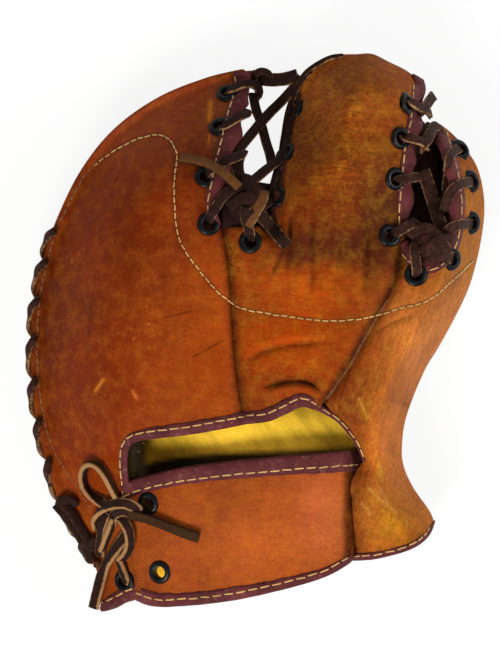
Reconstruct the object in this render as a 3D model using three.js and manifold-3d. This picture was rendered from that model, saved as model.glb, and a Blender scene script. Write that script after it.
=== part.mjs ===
// First base mitt lying palm down: back of the hand up (+Z), fingertips towards +Y, thumb towards +X.
// Every hide is a slab between two height functions, trimmed to its pattern outline. Millimetres.
import * as THREE from "three";
import { mergeVertices } from "three/addons/utils/BufferGeometryUtils.js";
import Module from "manifold-3d";

const wasm = await Module();
wasm.setup();

// Driving sizes: hides, padding and clearances.
const BACK_HIDE = 3.0;
const PALM_HIDE = 3.2;
const LINING = 1.4;
const PALM_FELT = 8.0;
const WEB_EDGE = 9.0;
const EDGE_LEAN = 1.4;
const SEW_GAP = 0.4;
const LEAST_THICK = 0.2;
const PALM_LEAST = 2.4;
const LAYER_GAP = 0.35;
const BINDING_WIDTH = 5.5;
const BINDING_HIDE = 1.4;
const BINDING_MOUTH = 4;

// Driving sizes: the dome of the mitt.
const RIM_HEIGHT = 30;
const WEB_RIM_LIFT = 18;
const WEB_CENTRE_X = 50;
const WEB_SPREAD = 36;
const WEB_RISE_Y = [70, 125];
const FINGER_ROLL = 55;
const THUMB_ROLL = 18;
const COLUMN_DROP = 12;
const COLUMN_ROLL = 12;
const FINGER_FOOT = 18;
const THUMB_FOOT = 14;
const FINGER_FLANGE = 4.5;
const THUMB_FLANGE = 1;
const EDGE_MARGIN = 12;
const THUMB_EDGE_MARGIN = 8;
const FOOT_SINK = 2.0;
const FINGER_POCKET_RUN = 70;
const THUMB_POCKET_RUN = 15;
const FINGER_EDGE_TAPER = 3.0;
const THUMB_EDGE_TAPER = 6.0;
const HAND_HALF_WIDTH = 62;
const THUMB_HALF_WIDTH = 22;
const HOLLOW_FADE = 9;

// Driving sizes: middle of the pattern, break line, web base, strap.
const FRAME_SHIFT = [0.23, -0.27];
const BREAK_X = 48;
const WEB_BASE_Y = 54;
const STRAP_HEIGHT = 76;
const STRAP_CENTRE_X = 15;
const STRAP_BEND_RADIUS = 150;
const STRAP_TOP_Y = -76;
const STRAP_SLOPE = 0.13;
const STRAP_END_X = -66;
const STRAP_HIDE = 3.0;
const STRAP_LINING = 1.2;

// Driving sizes: eyelets and laces.
const EYELET_HOLE = 2.9;
const EYELET_BARREL = 3.6;
const EYELET_FLANGE = 5.3;
const EYELET_RISE = 1.3;
const EYELET_DEPTH = 3.6;
const EYELET_SIDES = 8;
const PUNCH_DEPTH = 34;
const PUNCH_RISE = 8;
const LACE_WIDTH = 4.0;
const LACE_THICK = 1.8;
const LACE_RIDE = 4.0;
const LACE_CLEARANCE = 0.6;
const RIM_LACE_LOOPS = 10;
const RIM_LACE_STEPS = 6;
const RIM_LACE_INSET = 4.2;
const RIM_LACE_OUTSET = 2.7;
const RIM_LACE_SPAN = [0.07, 0.56];
const LACE_ARCH = 1.5;
const THUMB_LACE_SAG = 5;

// Facet grid that all hides share, so that stacked hides keep their clearance: rays from the middle of the
// hand and rings at shares of the distance to the outline.
const GRID_CENTRE = [2, -8];
const GRID_RAYS = 32;
const GRID_RINGS = [0.26, 0.5, 0.7, 0.85, 0.93, 1.0, 1.06];
const CURVE_STEP = 17;
const CUTTER_HEIGHT = 300;
const CUTTER_SINK = 100;
const TABLE_HALF = 200;

const leather = (color, roughness) => new THREE.MeshStandardMaterial({ color, roughness, metalness: 0 });
const materials = {
  smooth: leather(0x8a3c14, 0.45),
  worn: leather(0x9c5a1e, 0.6),
  palm: leather(0x7a3f1c, 0.5),
  binding: leather(0x4a1a22, 0.5),
  lining: leather(0xc49228, 0.8),
  felt: leather(0xb9ac90, 0.95),
  lace: leather(0x3a2118, 0.6),
  eyelet: new THREE.MeshStandardMaterial({ color: 0x14181a, roughness: 0.35, metalness: 0.8 }),
};

// Pattern outlines, seen from the back. Each list runs along one edge of a hide.
const FINGER_RIM = [
  [-80.5, -143], [-82.5, -126], [-89.5, -112], [-101.5, -88], [-108.5, -65], [-113.4, -42], [-115.4, -18],
  [-114.8, 8], [-111, 32], [-104, 56], [-91.4, 83.4], [-74.4, 105.4], [-51.2, 122], [-26.2, 132.2], [-7, 136.8],
];
const FINGER_GAP_EDGE = [
  [-5.4, 135.6], [-5, 126], [-8.4, 113], [-12, 98], [-18, 77], [-21.5, 65], [-18.5, 55],
];
const FINGER_SEAM = [[-17, 54], [-13.6, 28], [-11.4, -5], [-9.4, -26], [-6, -46.4]];
const OPENING_EDGE = [
  [-6, -46.4], [-18, -48.8], [-34, -51.6], [-57, -54.6], [-65.4, -58], [-67.4, -68], [-66, -84],
];
const HEEL_EDGE = [[-66, -136], [-73, -140.5], [-80.5, -143]];
const BACK_OPENING_EDGE = [[-5.4, -46.2], [6, -44.8], [15.6, -40.6], [22.6, -37.4], [30.4, -38.4]];
const THUMB_SEAM = [[32.2, -38.6], [44.6, -20.6], [58, 3], [71, 27], [76, 45]];
const WEB_LEFT_EDGE = [[6.6, 54.5], [7.6, 62], [10.6, 75], [13.2, 91], [16.2, 106], [19.8, 121]];
const WEB_TOP = [
  [19.8, 121], [25, 132], [31, 137.4], [42, 142.2], [52, 143], [60, 143.3], [69, 138.4], [80, 132.4],
  [86.2, 124.4],
];
const WEB_RIGHT_EDGE = [[86.2, 124.4], [84, 110], [80.8, 94], [78.8, 74], [77.6, 54.5]];
const THUMB_OPENING_EDGE = [[32.6, -38.4], [42.4, -46.8], [50.6, -57], [55, -67]];
const COLUMN_EDGE = [[55, -67], [50.6, -76], [49.2, -88], [50, -102], [51.6, -116]];
const THUMB_HEEL = [[51.6, -116], [63, -114.6], [80.5, -109.5], [91, -101.5]];
const THUMB_RIM = [
  [92.5, -99], [90, -93], [81.4, -80.6], [76.4, -69], [75.8, -57.7], [78.3, -43], [87, -21], [95.4, -6.8],
  [105, 11], [111.5, 26], [116.5, 46], [118.6, 66], [115.5, 84], [109, 95], [102.5, 102.5], [95, 108.5],
];
const THUMB_GAP_EDGE = [
  [93.5, 107.5], [96, 95], [99.6, 81], [101.4, 66], [100, 51], [95, 40.4], [88, 36.5], [81, 40.5], [76.6, 47],
];
const STRAP_TOP = [[-63, -80.5], [-38, -74.8], [-13.8, -71.8], [18, -69.2], [47, -68]];
const STRAP_END = [[47, -68], [47.6, -84], [48.2, -102], [49.8, -116]];
const STRAP_BOTTOM = [[49.8, -116], [32, -124.6], [2, -132.6], [-23, -137.6], [-46.5, -140], [-61, -137]];

const BACK_TOP_EDGE = [[-17, 54], [7, 54]];
const BACK_RIGHT_EDGE = [[77.6, 54], [76, 45]];
const PALM_HEEL_EDGE = [[47.6, -114], [30, -121.5], [0, -129.5], [-26, -134.5], [-50, -137], [-80.5, -143]];
const THUMB_PALM_HEEL = [[48.4, -113], [62, -112], [79, -107], [91, -100]];
const FINGER_PAD_EDGE = [
  [46, -110], [0, -122], [-48, -127], [-62, -121], [-78, -92], [-98, -45], [-99, -12], [-97, 30], [-90, 58],
  [-78, 85], [-58, 103], [-36, 113], [-34, 95], [-42, 76], [-46, 58], [-22, 34], [46, 38],
];
const THUMB_PAD_EDGE = [
  [50, 36], [66, 34], [72, 18], [90, 20], [98, 26], [103, 22], [93, 0], [82, -22], [71, -45], [69, -66],
  [76, -84], [83, -97], [70, -105], [50, -108],
];

const LINING_EDGE = [
  [-44, -123], [0, -122], [38, -112], [41, -80], [40, -50], [32, -20], [22, 10], [12, 30], [-20, 28],
  [-52, 50], [-58, 76], [-70, 72], [-82, 48], [-77, 5], [-64, -40], [-50, -80],
];
const THUMB_LINING_EDGE = [
  [51, -100], [56, -98], [54.5, -62], [67, -40], [82, -5], [80, 6], [66, -14], [54, -36], [50.5, -44],
];

// Heights of the back at chosen stations (x, y, z): the crown that the rims roll down from.
const CROWN = [
  [-74, -112, 60], [-82, -50, 80], [-76, 10, 84], [-60, 70, 80], [-30, 110, 72], [-24, 65, 74], [-14, 0, 80],
  [-22, -45, 84], [20, -25, 87], [42, 10, 86], [20, 40, 82], [45, 85, 82], [45, 122, 78], [20, 100, 73],
  [82, 105, 62], [76, 62, 68], [64, -60, 84], [74, -20, 87], [88, 20, 78], [101, 50, 70], [104, 85, 64],
  [70, -105, 60],
];
// Heights of the pocket, the hollow of the palm.
const POCKET = [
  [-60, -120, 24], [10, -130, 27], [48, -110, 30], [-40, -20, 42], [20, -20, 44], [48, 20, 45], [20, 60, 46],
  [90, 0, 42],
];

// The hand and the thumb inside the mitt, as lines that the hollows follow.
const HAND_LINE = [[0, -160], [-2, -60], [-24, 0], [-48, 50]];
const THUMB_LINE = [[30, -160], [40, -60], [70, -30], [84, 5]];

// Wrist lace, as places with the height of the lace over the hide: the loop with its long tail, and the short
// tail.
const WRIST_RISE = [-74.5, -111, 4];
const WRIST_KNOT = [-73, -97, 5];
const WRIST_LOOP = [
  [-74, -99, 4.5], [-71, -84, 6.8], [-77, -71, 5.6], [-84, -67.5, 4.2], [-90, -74.5, 4.4], [-84, -84, 4.4],
  [-75, -91.5, 6.4], [-66, -94, 5], [-49, -103, 2], [-31, -106, 1.8],
];
const WRIST_TAIL = [[-72, -95, 3.4], [-65, -107, 3.4], [-69, -117.5, 5.5], [-78, -114, 5.2], [-84, -128, 1.8]];

// Eyelet centres from the fingertips down.
const FINGER_EYELETS = [[-15, 123.8], [-18.8, 106], [-26.6, 80.3], [-29, 58.2]];
const WEB_LEFT_EYELETS = [[26.4, 117.5], [21, 91.5], [17.4, 70.5]];
const WEB_RIGHT_EYELETS = [[77.4, 118], [74.2, 100], [71.4, 79]];
const BACK_EYELETS = [[-3.4, 45], [68.6, 49.6]];
const THUMB_EYELETS = [[102.8, 93.4], [107.8, 78], [109, 57], [103, 34.2], [83.5, 27]];
const STRAP_EYELETS = [[-55.5, -90.4], [-50, -125]];
const HEEL_EYELET = [-73, -127];

const smoothstep = THREE.MathUtils.smoothstep;
const mix = THREE.MathUtils.lerp;

// A smooth curve through hand-chosen points, sampled about every spacing mm.
function curve(points, spacing = CURVE_STEP) {
  const spline = new THREE.SplineCurve(points.map(([x, y]) => new THREE.Vector2(x, y)));
  return spline.getSpacedPoints(Math.max(2, Math.round(spline.getLength() / spacing)));
}

// Distance from a place to a sampled curve.
function distanceTo(line) {
  return (x, y) => {
    let least = Infinity;
    for (let i = 0; i + 1 < line.length; i++) {
      const dx = line[i + 1].x - line[i].x;
      const dy = line[i + 1].y - line[i].y;
      const along = ((x - line[i].x) * dx + (y - line[i].y) * dy) / (dx * dx + dy * dy);
      const t = THREE.MathUtils.clamp(along, 0, 1);
      least = Math.min(least, Math.hypot(x - line[i].x - t * dx, y - line[i].y - t * dy));
    }
    return least;
  };
}

// Whether a place is inside a closed outline.
function insideOf(outline) {
  return (x, y) => outline.reduce((inside, a, i) => {
    const b = outline[(i + 1) % outline.length];
    const crosses = a.y > y !== b.y > y && x < a.x + ((y - a.y) / (b.y - a.y)) * (b.x - a.x);
    return crosses ? !inside : inside;
  }, false);
}

// Thin-plate surface through stations (x, y, z).
function surfaceThrough(stations) {
  const n = stations.length;
  const kernel = (r2) => (r2 > 0 ? r2 * Math.log(r2) : 0);
  const rows = stations.map(([x, y, z], i) => [
    ...stations.map(([u, v]) => kernel((x - u) ** 2 + (y - v) ** 2)), 1, x, y, z,
  ]);
  rows.push([...stations.map(() => 1), 0, 0, 0, 0]);
  rows.push([...stations.map((s) => s[0]), 0, 0, 0, 0]);
  rows.push([...stations.map((s) => s[1]), 0, 0, 0, 0]);
  const size = n + 3;
  for (let c = 0; c < size; c++) {
    let best = c;
    for (let r = c + 1; r < size; r++) if (Math.abs(rows[r][c]) > Math.abs(rows[best][c])) best = r;
    [rows[c], rows[best]] = [rows[best], rows[c]];
    for (let r = 0; r < size; r++) {
      if (r === c) continue;
      const share = rows[r][c] / rows[c][c];
      for (let k = c; k <= size; k++) rows[r][k] -= share * rows[c][k];
    }
  }
  const weight = rows.map((row, i) => row[size] / row[i]);
  return (x, y) => {
    let z = weight[n] + weight[n + 1] * x + weight[n + 2] * y;
    stations.forEach(([u, v], i) => (z += weight[i] * kernel((x - u) ** 2 + (y - v) ** 2)));
    return z;
  };
}

// Distances and heights that the hides share.
const rimLine = [...curve(FINGER_RIM, 6), ...curve(WEB_TOP, 6), ...curve([...THUMB_RIM].reverse(), 6)];
const heelLoop = [[92, -175], [-80, -175]].map(([x, y]) => new THREE.Vector2(x, y));
const isInside = insideOf([...rimLine, ...heelLoop]);
const signed = (distance) => (x, y) => (isInside(x, y) ? distance(x, y) : -distance(x, y));
const toRim = signed(distanceTo(rimLine));
const toFingerRim = signed(distanceTo(curve(FINGER_RIM, 6)));
const toThumbRim = signed(distanceTo(curve(THUMB_RIM, 6)));
const toColumn = distanceTo(curve([...THUMB_OPENING_EDGE, ...COLUMN_EDGE.slice(1)], 6));
const toFingerGap = distanceTo(curve(FINGER_GAP_EDGE, 6));
const toThumbGap = distanceTo(curve(THUMB_GAP_EDGE, 6));
const toHand = distanceTo(curve(HAND_LINE, 6));
const toThumb = distanceTo(curve(THUMB_LINE, 6));
const crown = surfaceThrough(CROWN);
const pocket = surfaceThrough(POCKET);
const bulge = (t) => Math.sin((Math.PI / 2) * THREE.MathUtils.clamp(t, 0, 1));

// Height of the rim: higher at the end of the web.
function rimHeight(x, y) {
  const nearWeb = Math.exp(-(((x - WEB_CENTRE_X) / WEB_SPREAD) ** 2));
  return RIM_HEIGHT + WEB_RIM_LIFT * smoothstep(y, ...WEB_RISE_Y) * nearWeb;
}

// Outer face of the back hides.
function backTop(x, y) {
  const side = smoothstep(x, 10, 70);
  const roll = mix(FINGER_ROLL, THUMB_ROLL, side);
  const flange = mix(FINGER_FLANGE, THUMB_FLANGE, side);
  const t = (toRim(x, y) - flange) / roll;
  const rim = rimHeight(x, y);
  return rim + (crown(x, y) - rim) * (t < 0 ? (Math.PI / 2) * t * side : bulge(t));
}

// The thumb panel also rolls down to the strap along its column.
function thumbTop(x, y) {
  return backTop(x, y) - COLUMN_DROP * (1 - bulge(toColumn(x, y) / COLUMN_ROLL));
}

// Upright share of a hide that is thick square to its face.
function lean(face, x, y) {
  const h = 1;
  const sx = (face(x + h, y) - face(x - h, y)) / (2 * h);
  const sy = (face(x, y + h) - face(x, y - h)) / (2 * h);
  return Math.min(Math.hypot(1, sx, sy), 2);
}

const backUnder = (x, y) => backTop(x, y) - BACK_HIDE * lean(backTop, x, y);
const thumbUnder = (x, y) => thumbTop(x, y) - BACK_HIDE * lean(thumbTop, x, y);
const thumbRoof = (x, y) => Math.min(thumbUnder(x, y), backUnder(x, y));

// Upright thickness of the two hides together beside the web gaps.
const edgeThick = (x, y) => WEB_EDGE * Math.min(lean(backTop, x, y), EDGE_LEAN);

// Outer face of the palm hides: rim, foot on the table, then the rise into the pocket.
function palmFace({ toEdge, foot, run, flange, toGap, margin, taper, roof }) {
  return (x, y) => {
    const d = toEdge(x, y);
    const down = THREE.MathUtils.clamp(1 - (d - flange) / (foot - flange), 0, 1);
    const rim = (RIM_HEIGHT - BACK_HIDE - PALM_HIDE - 2 * LAYER_GAP) * down ** 2;
    const rise = pocket(x, y) * smoothstep(d, foot, foot + run);
    const thick = edgeThick(x, y) + taper * Math.max(0, toGap(x, y) - margin);
    const face = Math.max(rim + rise - FOOT_SINK, backTop(x, y) - thick);
    return Math.min(face, roof(x, y) - LAYER_GAP - PALM_LEAST);
  };
}
const fingerFace = palmFace({
  toEdge: toFingerRim, foot: FINGER_FOOT, run: FINGER_POCKET_RUN, flange: FINGER_FLANGE,
  toGap: toFingerGap, margin: EDGE_MARGIN, taper: FINGER_EDGE_TAPER, roof: backUnder,
});
const thumbFace = palmFace({
  toEdge: toThumbRim, foot: THUMB_FOOT, run: THUMB_POCKET_RUN, flange: THUMB_FLANGE,
  toGap: toThumbGap, margin: THUMB_EDGE_MARGIN, taper: THUMB_EDGE_TAPER, roof: thumbRoof,
});
const palmInner = (face, roof) => (x, y) =>
  Math.min(face(x, y) + PALM_HIDE * lean(face, x, y), roof(x, y) - LAYER_GAP);
const fingerInner = palmInner(fingerFace, backUnder);
const thumbInner = palmInner(thumbFace, thumbRoof);
const webFace = (x, y) => backTop(x, y) - edgeThick(x, y);
const webInner = palmInner(webFace, backUnder);

// Top of the felt: up to the back hide, or low under the hand and the thumb.
function feltTop(inner, roof, toMember, halfWidth) {
  return (x, y) => {
    const full = roof(x, y) - LAYER_GAP;
    const low = Math.min(inner(x, y) + LAYER_GAP + PALM_FELT, full);
    const share = smoothstep(toMember(x, y), halfWidth - HOLLOW_FADE, halfWidth);
    return mix(low, full, share);
  };
}
const STRAP_REACH = [-80, -60];
const OPENING_REACH = -30;
const fingerRoof = (x, y) => {
  const hem = y < OPENING_REACH ? LAYER_GAP + BINDING_HIDE + SEW_GAP : 0;
  const panel = backUnder(x, y) - hem;
  return x > STRAP_REACH[0] && y < STRAP_REACH[1] ? Math.min(panel, strapLow(x, y) - hem) : panel;
};
const strapTop = (x, y) =>
  STRAP_HEIGHT - (x - STRAP_CENTRE_X) ** 2 / (2 * STRAP_BEND_RADIUS) + STRAP_SLOPE * (y - STRAP_TOP_Y);
const strapUnder = (x, y) => strapTop(x, y) - STRAP_HIDE * lean(strapTop, x, y);
const strapLow = (x, y) => strapUnder(x, y) - LAYER_GAP - STRAP_LINING;
const above = (face, rise) => (x, y) => face(x, y) + rise;
const fingerFelt = feltTop(fingerInner, fingerRoof, toHand, HAND_HALF_WIDTH);
const thumbFelt = feltTop(thumbInner, thumbRoof, toThumb, THUMB_HALF_WIDTH);

// Geometry helpers.
function toSolid(geometry) {
  const bare = geometry.clone();
  bare.deleteAttribute("normal");
  bare.deleteAttribute("uv");
  const merged = mergeVertices(bare, 1e-4);
  return new wasm.Manifold(new wasm.Mesh({
    numProp: 3,
    vertProperties: new Float32Array(merged.attributes.position.array),
    triVerts: new Uint32Array(merged.index.array),
  }));
}

function toGeometry(solid) {
  const { vertProperties, triVerts, numProp } = solid.getMesh();
  const geometry = new THREE.BufferGeometry();
  const xyz = [];
  for (let i = 0; i < vertProperties.length; i += numProp) xyz.push(...vertProperties.subarray(i, i + 3));
  geometry.setAttribute("position", new THREE.Float32BufferAttribute(xyz, 3));
  geometry.setIndex([...triVerts]);
  return geometry;
}

// A closed tube through rings of points, capped at both ends.
function ringed(rings) {
  const side = rings[0].length;
  const index = [];
  for (let r = 0; r + 1 < rings.length; r++) {
    for (let k = 0; k < side; k++) {
      const a = r * side + k;
      const b = r * side + ((k + 1) % side);
      index.push(a, b, b + side, a, b + side, a + side);
    }
  }
  const last = (rings.length - 1) * side;
  for (let k = 1; k + 1 < side; k++) index.push(0, k + 1, k, last, last + k, last + k + 1);
  const geometry = new THREE.BufferGeometry();
  const xyz = rings.flat().flatMap((p) => [p.x, p.y, p.z]);
  geometry.setAttribute("position", new THREE.Float32BufferAttribute(xyz, 3));
  geometry.setIndex(index);
  return geometry;
}

// The shared grid: places in plan, and triangles of their numbers.
const outerLine = [
  ...rimLine, ...curve([...THUMB_HEEL].reverse(), 6), ...curve(STRAP_BOTTOM, 6), ...curve(HEEL_EDGE, 6),
];
const gridPlaces = [new THREE.Vector2(...GRID_CENTRE)];
const gridCells = [];
for (const share of GRID_RINGS) {
  for (let i = 0; i < GRID_RAYS; i++) {
    const turn = (2 * Math.PI * i) / GRID_RAYS;
    const ray = new THREE.Vector2(Math.cos(turn), Math.sin(turn));
    gridPlaces.push(ray.multiplyScalar(share * reach(ray)).add(gridPlaces[0]));
  }
}
for (let ring = 0; ring < GRID_RINGS.length; ring++) {
  for (let i = 0; i < GRID_RAYS; i++) {
    const here = 1 + ring * GRID_RAYS + i;
    const next = 1 + ring * GRID_RAYS + ((i + 1) % GRID_RAYS);
    if (ring === 0) gridCells.push([0, here, next]);
    else gridCells.push([here - GRID_RAYS, here, next], [here - GRID_RAYS, next, next - GRID_RAYS]);
  }
}

// Distance from the grid's middle to the outline along a ray.
function reach(ray) {
  let far = 0;
  outerLine.forEach((a, i) => {
    const b = outerLine[(i + 1) % outerLine.length];
    const [from, to] = [a.clone().sub(gridPlaces[0]), b.clone().sub(gridPlaces[0])];
    const [sideA, sideB] = [ray.cross(from), ray.cross(to)];
    if (sideA * sideB > 0 || sideA === sideB) return;
    const hit = from.lerp(to, sideA / (sideA - sideB));
    far = Math.max(far, hit.dot(ray));
  });
  return far;
}

// A slab between two height functions on the shared grid, trimmed to an outline.
function hide(outline, low, high) {
  const floor = gridPlaces.map((p) => low(p.x, p.y));
  const roof = gridPlaces.map((p, i) => Math.max(high(p.x, p.y), floor[i] + LEAST_THICK));
  const count = gridPlaces.length;
  const rim = count - GRID_RAYS;
  const xyz = [floor, roof].flatMap((heights) => gridPlaces.flatMap((p, i) => [p.x, p.y, heights[i]]));
  const index = gridCells.flatMap(([a, b, c]) => [a, c, b, a + count, b + count, c + count]);
  for (let i = 0; i < GRID_RAYS; i++) {
    const a = rim + i;
    const b = rim + ((i + 1) % GRID_RAYS);
    index.push(a, b, b + count, a, b + count, a + count);
  }
  const slab = new THREE.BufferGeometry();
  slab.setAttribute("position", new THREE.Float32BufferAttribute(xyz, 3));
  slab.setIndex(index);
  return toSolid(slab).intersect(prism(outline));
}

// A tall block with a pattern outline.
function prism(outline) {
  const shape = new THREE.Shape(outline);
  const tall = new THREE.ExtrudeGeometry(shape, { depth: CUTTER_HEIGHT, bevelEnabled: false });
  return toSolid(tall.translate(0, 0, -CUTTER_SINK));
}

// Pattern outline from edges laid end to end.
function outlineOf(...edges) {
  const points = edges.flat();
  const kept = points.filter((p, i) => p.distanceTo(points[(i + 1) % points.length]) > 0.25);
  return THREE.ShapeUtils.isClockWise(kept) ? kept.reverse() : kept;
}

// A strip along an edge, from inner to outer mm across it; positive is to the left of travel.
function strip(edge, inner, outer, extra = 0) {
  const line = edge.map((p) => p.clone());
  const first = line[0].clone().sub(line[1]).setLength(extra);
  const last = line.at(-1).clone().sub(line.at(-2)).setLength(extra);
  line[0].add(first);
  line.at(-1).add(last);
  const aside = (shift) => line.map((p, i) => {
    const ahead = line[Math.min(i + 1, line.length - 1)].clone().sub(line[Math.max(i - 1, 0)]).normalize();
    return new THREE.Vector2(p.x - ahead.y * shift, p.y + ahead.x * shift);
  });
  return outlineOf(aside(inner), aside(outer).reverse());
}

// Folded binding round an edge: a U over both faces, open towards the hide. side is +1 where the hide is on
// the left.
function binding(points, low, high, side, extra = 0) {
  const edge = curve(points);
  const wall = LAYER_GAP + BINDING_HIDE;
  const band = strip(edge, BINDING_WIDTH * side, -wall * side, extra);
  const outer = hide(band, above(low, -wall), above(high, wall));
  const mouth = strip(edge, (BINDING_WIDTH + BINDING_MOUTH) * side, -LAYER_GAP * side, BINDING_MOUTH);
  const core = hide(mouth, above(low, -LAYER_GAP), above(high, LAYER_GAP));
  return outer.subtract(core);
}

// Height and outward direction of the faceted hide at a place.
function seatOn(face, x, y) {
  const place = new THREE.Vector2(x, y);
  const holds = (cell) => cell.every((n, k) => {
    const from = gridPlaces[n];
    return gridPlaces[cell[(k + 1) % 3]].clone().sub(from).cross(place.clone().sub(from)) >= -1e-6;
  });
  const corners = gridCells.find(holds).map((n) => gridPlaces[n]);
  const [a, b, c] = corners.map((p) => new THREE.Vector3(p.x, p.y, face(p.x, p.y)));
  const normal = b.sub(a).cross(c.sub(a)).normalize();
  const z = a.z - (normal.x * (x - a.x) + normal.y * (y - a.y)) / normal.z;
  return { at: new THREE.Vector3(x, y, z), normal };
}

// An upright round block on a seat, from low to high along its direction.
function post(seat, radius, low, high) {
  const block = new THREE.CylinderGeometry(radius, radius, high - low, EYELET_SIDES);
  block.translate(0, (low + high) / 2, 0).rotateX(Math.PI / 2);
  block.applyQuaternion(new THREE.Quaternion().setFromUnitVectors(new THREE.Vector3(0, 0, 1), seat.normal));
  return toSolid(block.translate(seat.at.x, seat.at.y, seat.at.z));
}

// Metal eyelet: rolled flange on the hide and a barrel through it.
function eyelet(seat) {
  const foot = LAYER_GAP;
  const profile = [
    [EYELET_HOLE, -EYELET_DEPTH], [EYELET_BARREL, -EYELET_DEPTH], [EYELET_BARREL, foot], [EYELET_FLANGE, foot],
    [EYELET_FLANGE - 0.5, foot + EYELET_RISE * 0.7], [EYELET_BARREL, foot + EYELET_RISE],
    [EYELET_HOLE, foot + EYELET_RISE * 0.6], [EYELET_HOLE, -EYELET_DEPTH],
  ].map(([r, z]) => new THREE.Vector2(r, z));
  const ring = new THREE.LatheGeometry(profile, EYELET_SIDES).rotateX(Math.PI / 2);
  ring.applyQuaternion(new THREE.Quaternion().setFromUnitVectors(new THREE.Vector3(0, 0, 1), seat.normal));
  return toSolid(ring.translate(seat.at.x, seat.at.y, seat.at.z));
}

// Lace holes through a hide, and the flange's seat on a hide that carries the eyelets.
function drilled(solid, seats) {
  const hole = (seat) => post(seat, EYELET_BARREL + LAYER_GAP, -PUNCH_DEPTH, 2);
  return seats.reduce((left, seat) => left.subtract(hole(seat)), solid);
}

function punched(solid, seats) {
  const bed = (seat) => post(seat, EYELET_FLANGE + LAYER_GAP, 0, PUNCH_RISE);
  return drilled(seats.reduce((left, seat) => left.subtract(bed(seat)), solid), seats);
}

// Flat lace along a route, or the wider slot that clears it. across gives the direction of its width at each
// point.
const LACE_SECTION = [[-1, -1], [1, -1], [1, 1], [-1, 1]];
function laceAlong(route, across, grow = 0) {
  const halfWidth = LACE_WIDTH / 2 + grow;
  const halfThick = LACE_THICK / 2 + grow;
  const rings = route.map((p, i) => {
    const ahead = route[Math.min(i + 1, route.length - 1)].clone().sub(route[Math.max(i - 1, 0)]).normalize();
    const wide = across(i, ahead).clone();
    wide.addScaledVector(ahead, -wide.dot(ahead)).normalize();
    const up = ahead.clone().cross(wide);
    return LACE_SECTION.map(([u, v]) =>
      p.clone().addScaledVector(wide, u * halfWidth).addScaledVector(up, v * halfThick));
  });
  return toSolid(ringed(rings));
}

// Pattern outlines of the hides.
const straight = (...points) => points.map(([x, y]) => new THREE.Vector2(x, y));
const fingerOutline = outlineOf(
  curve(FINGER_RIM), curve(FINGER_GAP_EDGE), curve(FINGER_SEAM, 16), curve(OPENING_EDGE), curve(HEEL_EDGE),
);
const backOutline = outlineOf(
  curve(FINGER_SEAM.map(([x, y]) => [x + SEW_GAP, y]).reverse(), 16),
  curve(WEB_LEFT_EDGE), curve(WEB_TOP), curve(WEB_RIGHT_EDGE),
  curve([...THUMB_SEAM].reverse().map(([x, y]) => [x - SEW_GAP, y]), 16),
  curve([...BACK_OPENING_EDGE].reverse()),
);
const thumbOutline = outlineOf(
  curve(THUMB_OPENING_EDGE), curve(COLUMN_EDGE), curve(THUMB_HEEL), curve(THUMB_RIM), curve(THUMB_GAP_EDGE),
  curve([...THUMB_SEAM].reverse(), 16),
);
const webOutline = outlineOf(curve(WEB_LEFT_EDGE), curve(WEB_TOP), curve(WEB_RIGHT_EDGE));
const strapOutline = outlineOf(curve(STRAP_TOP), curve(STRAP_END), curve(STRAP_BOTTOM));
const fingerPalmOutline = outlineOf(
  curve(FINGER_RIM), curve(FINGER_GAP_EDGE), straight([-17, WEB_BASE_Y], [BREAK_X - SEW_GAP, WEB_BASE_Y]),
  straight([BREAK_X - SEW_GAP, -114]), curve(PALM_HEEL_EDGE, 14),
);
const thumbPalmOutline = outlineOf(
  straight([BREAK_X + SEW_GAP, WEB_BASE_Y - SEW_GAP], [BREAK_X + SEW_GAP, -113]), curve(THUMB_PALM_HEEL),
  curve(THUMB_RIM), curve(THUMB_GAP_EDGE), straight([WEB_RIGHT_EDGE.at(-1)[0], WEB_BASE_Y - SEW_GAP]),
);
const fingerPadOutline = outlineOf(curve(FINGER_PAD_EDGE));
const thumbPadOutline = outlineOf(curve(THUMB_PAD_EDGE));

// Eyelet seats on the faceted hides.
const seats = {};
function addSeats(name, face, places) {
  places.forEach(([x, y], i) => (seats[`${name}_${i + 1}`] = seatOn(face, x, y)));
}
addSeats("finger_eyelet", backTop, FINGER_EYELETS);
addSeats("back_eyelet", backTop, BACK_EYELETS);
addSeats("web_left_eyelet", backTop, WEB_LEFT_EYELETS);
addSeats("web_right_eyelet", backTop, WEB_RIGHT_EYELETS);
addSeats("thumb_eyelet", thumbTop, THUMB_EYELETS);
addSeats("strap_eyelet", strapTop, STRAP_EYELETS);
addSeats("heel_eyelet", backTop, [HEEL_EYELET]);
function seatsOf(...starts) {
  const names = Object.keys(seats).filter((name) => starts.some((start) => name.startsWith(start)));
  return names.map((name) => seats[name]);
}
const fingerSeats = seatsOf("finger_eyelet", "heel_eyelet");
const backSeats = seatsOf("back_eyelet");
const webSeats = seatsOf("web_");
const thumbSeats = seatsOf("thumb_eyelet");
const strapSeats = seatsOf("strap_eyelet");

// Smooth lace route through hand-chosen or worked-out points.
function route(points, spacing = 6) {
  const line = new THREE.CatmullRomCurve3(points);
  return line.getSpacedPoints(Math.max(2, Math.round(line.getLength() / spacing)));
}

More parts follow.
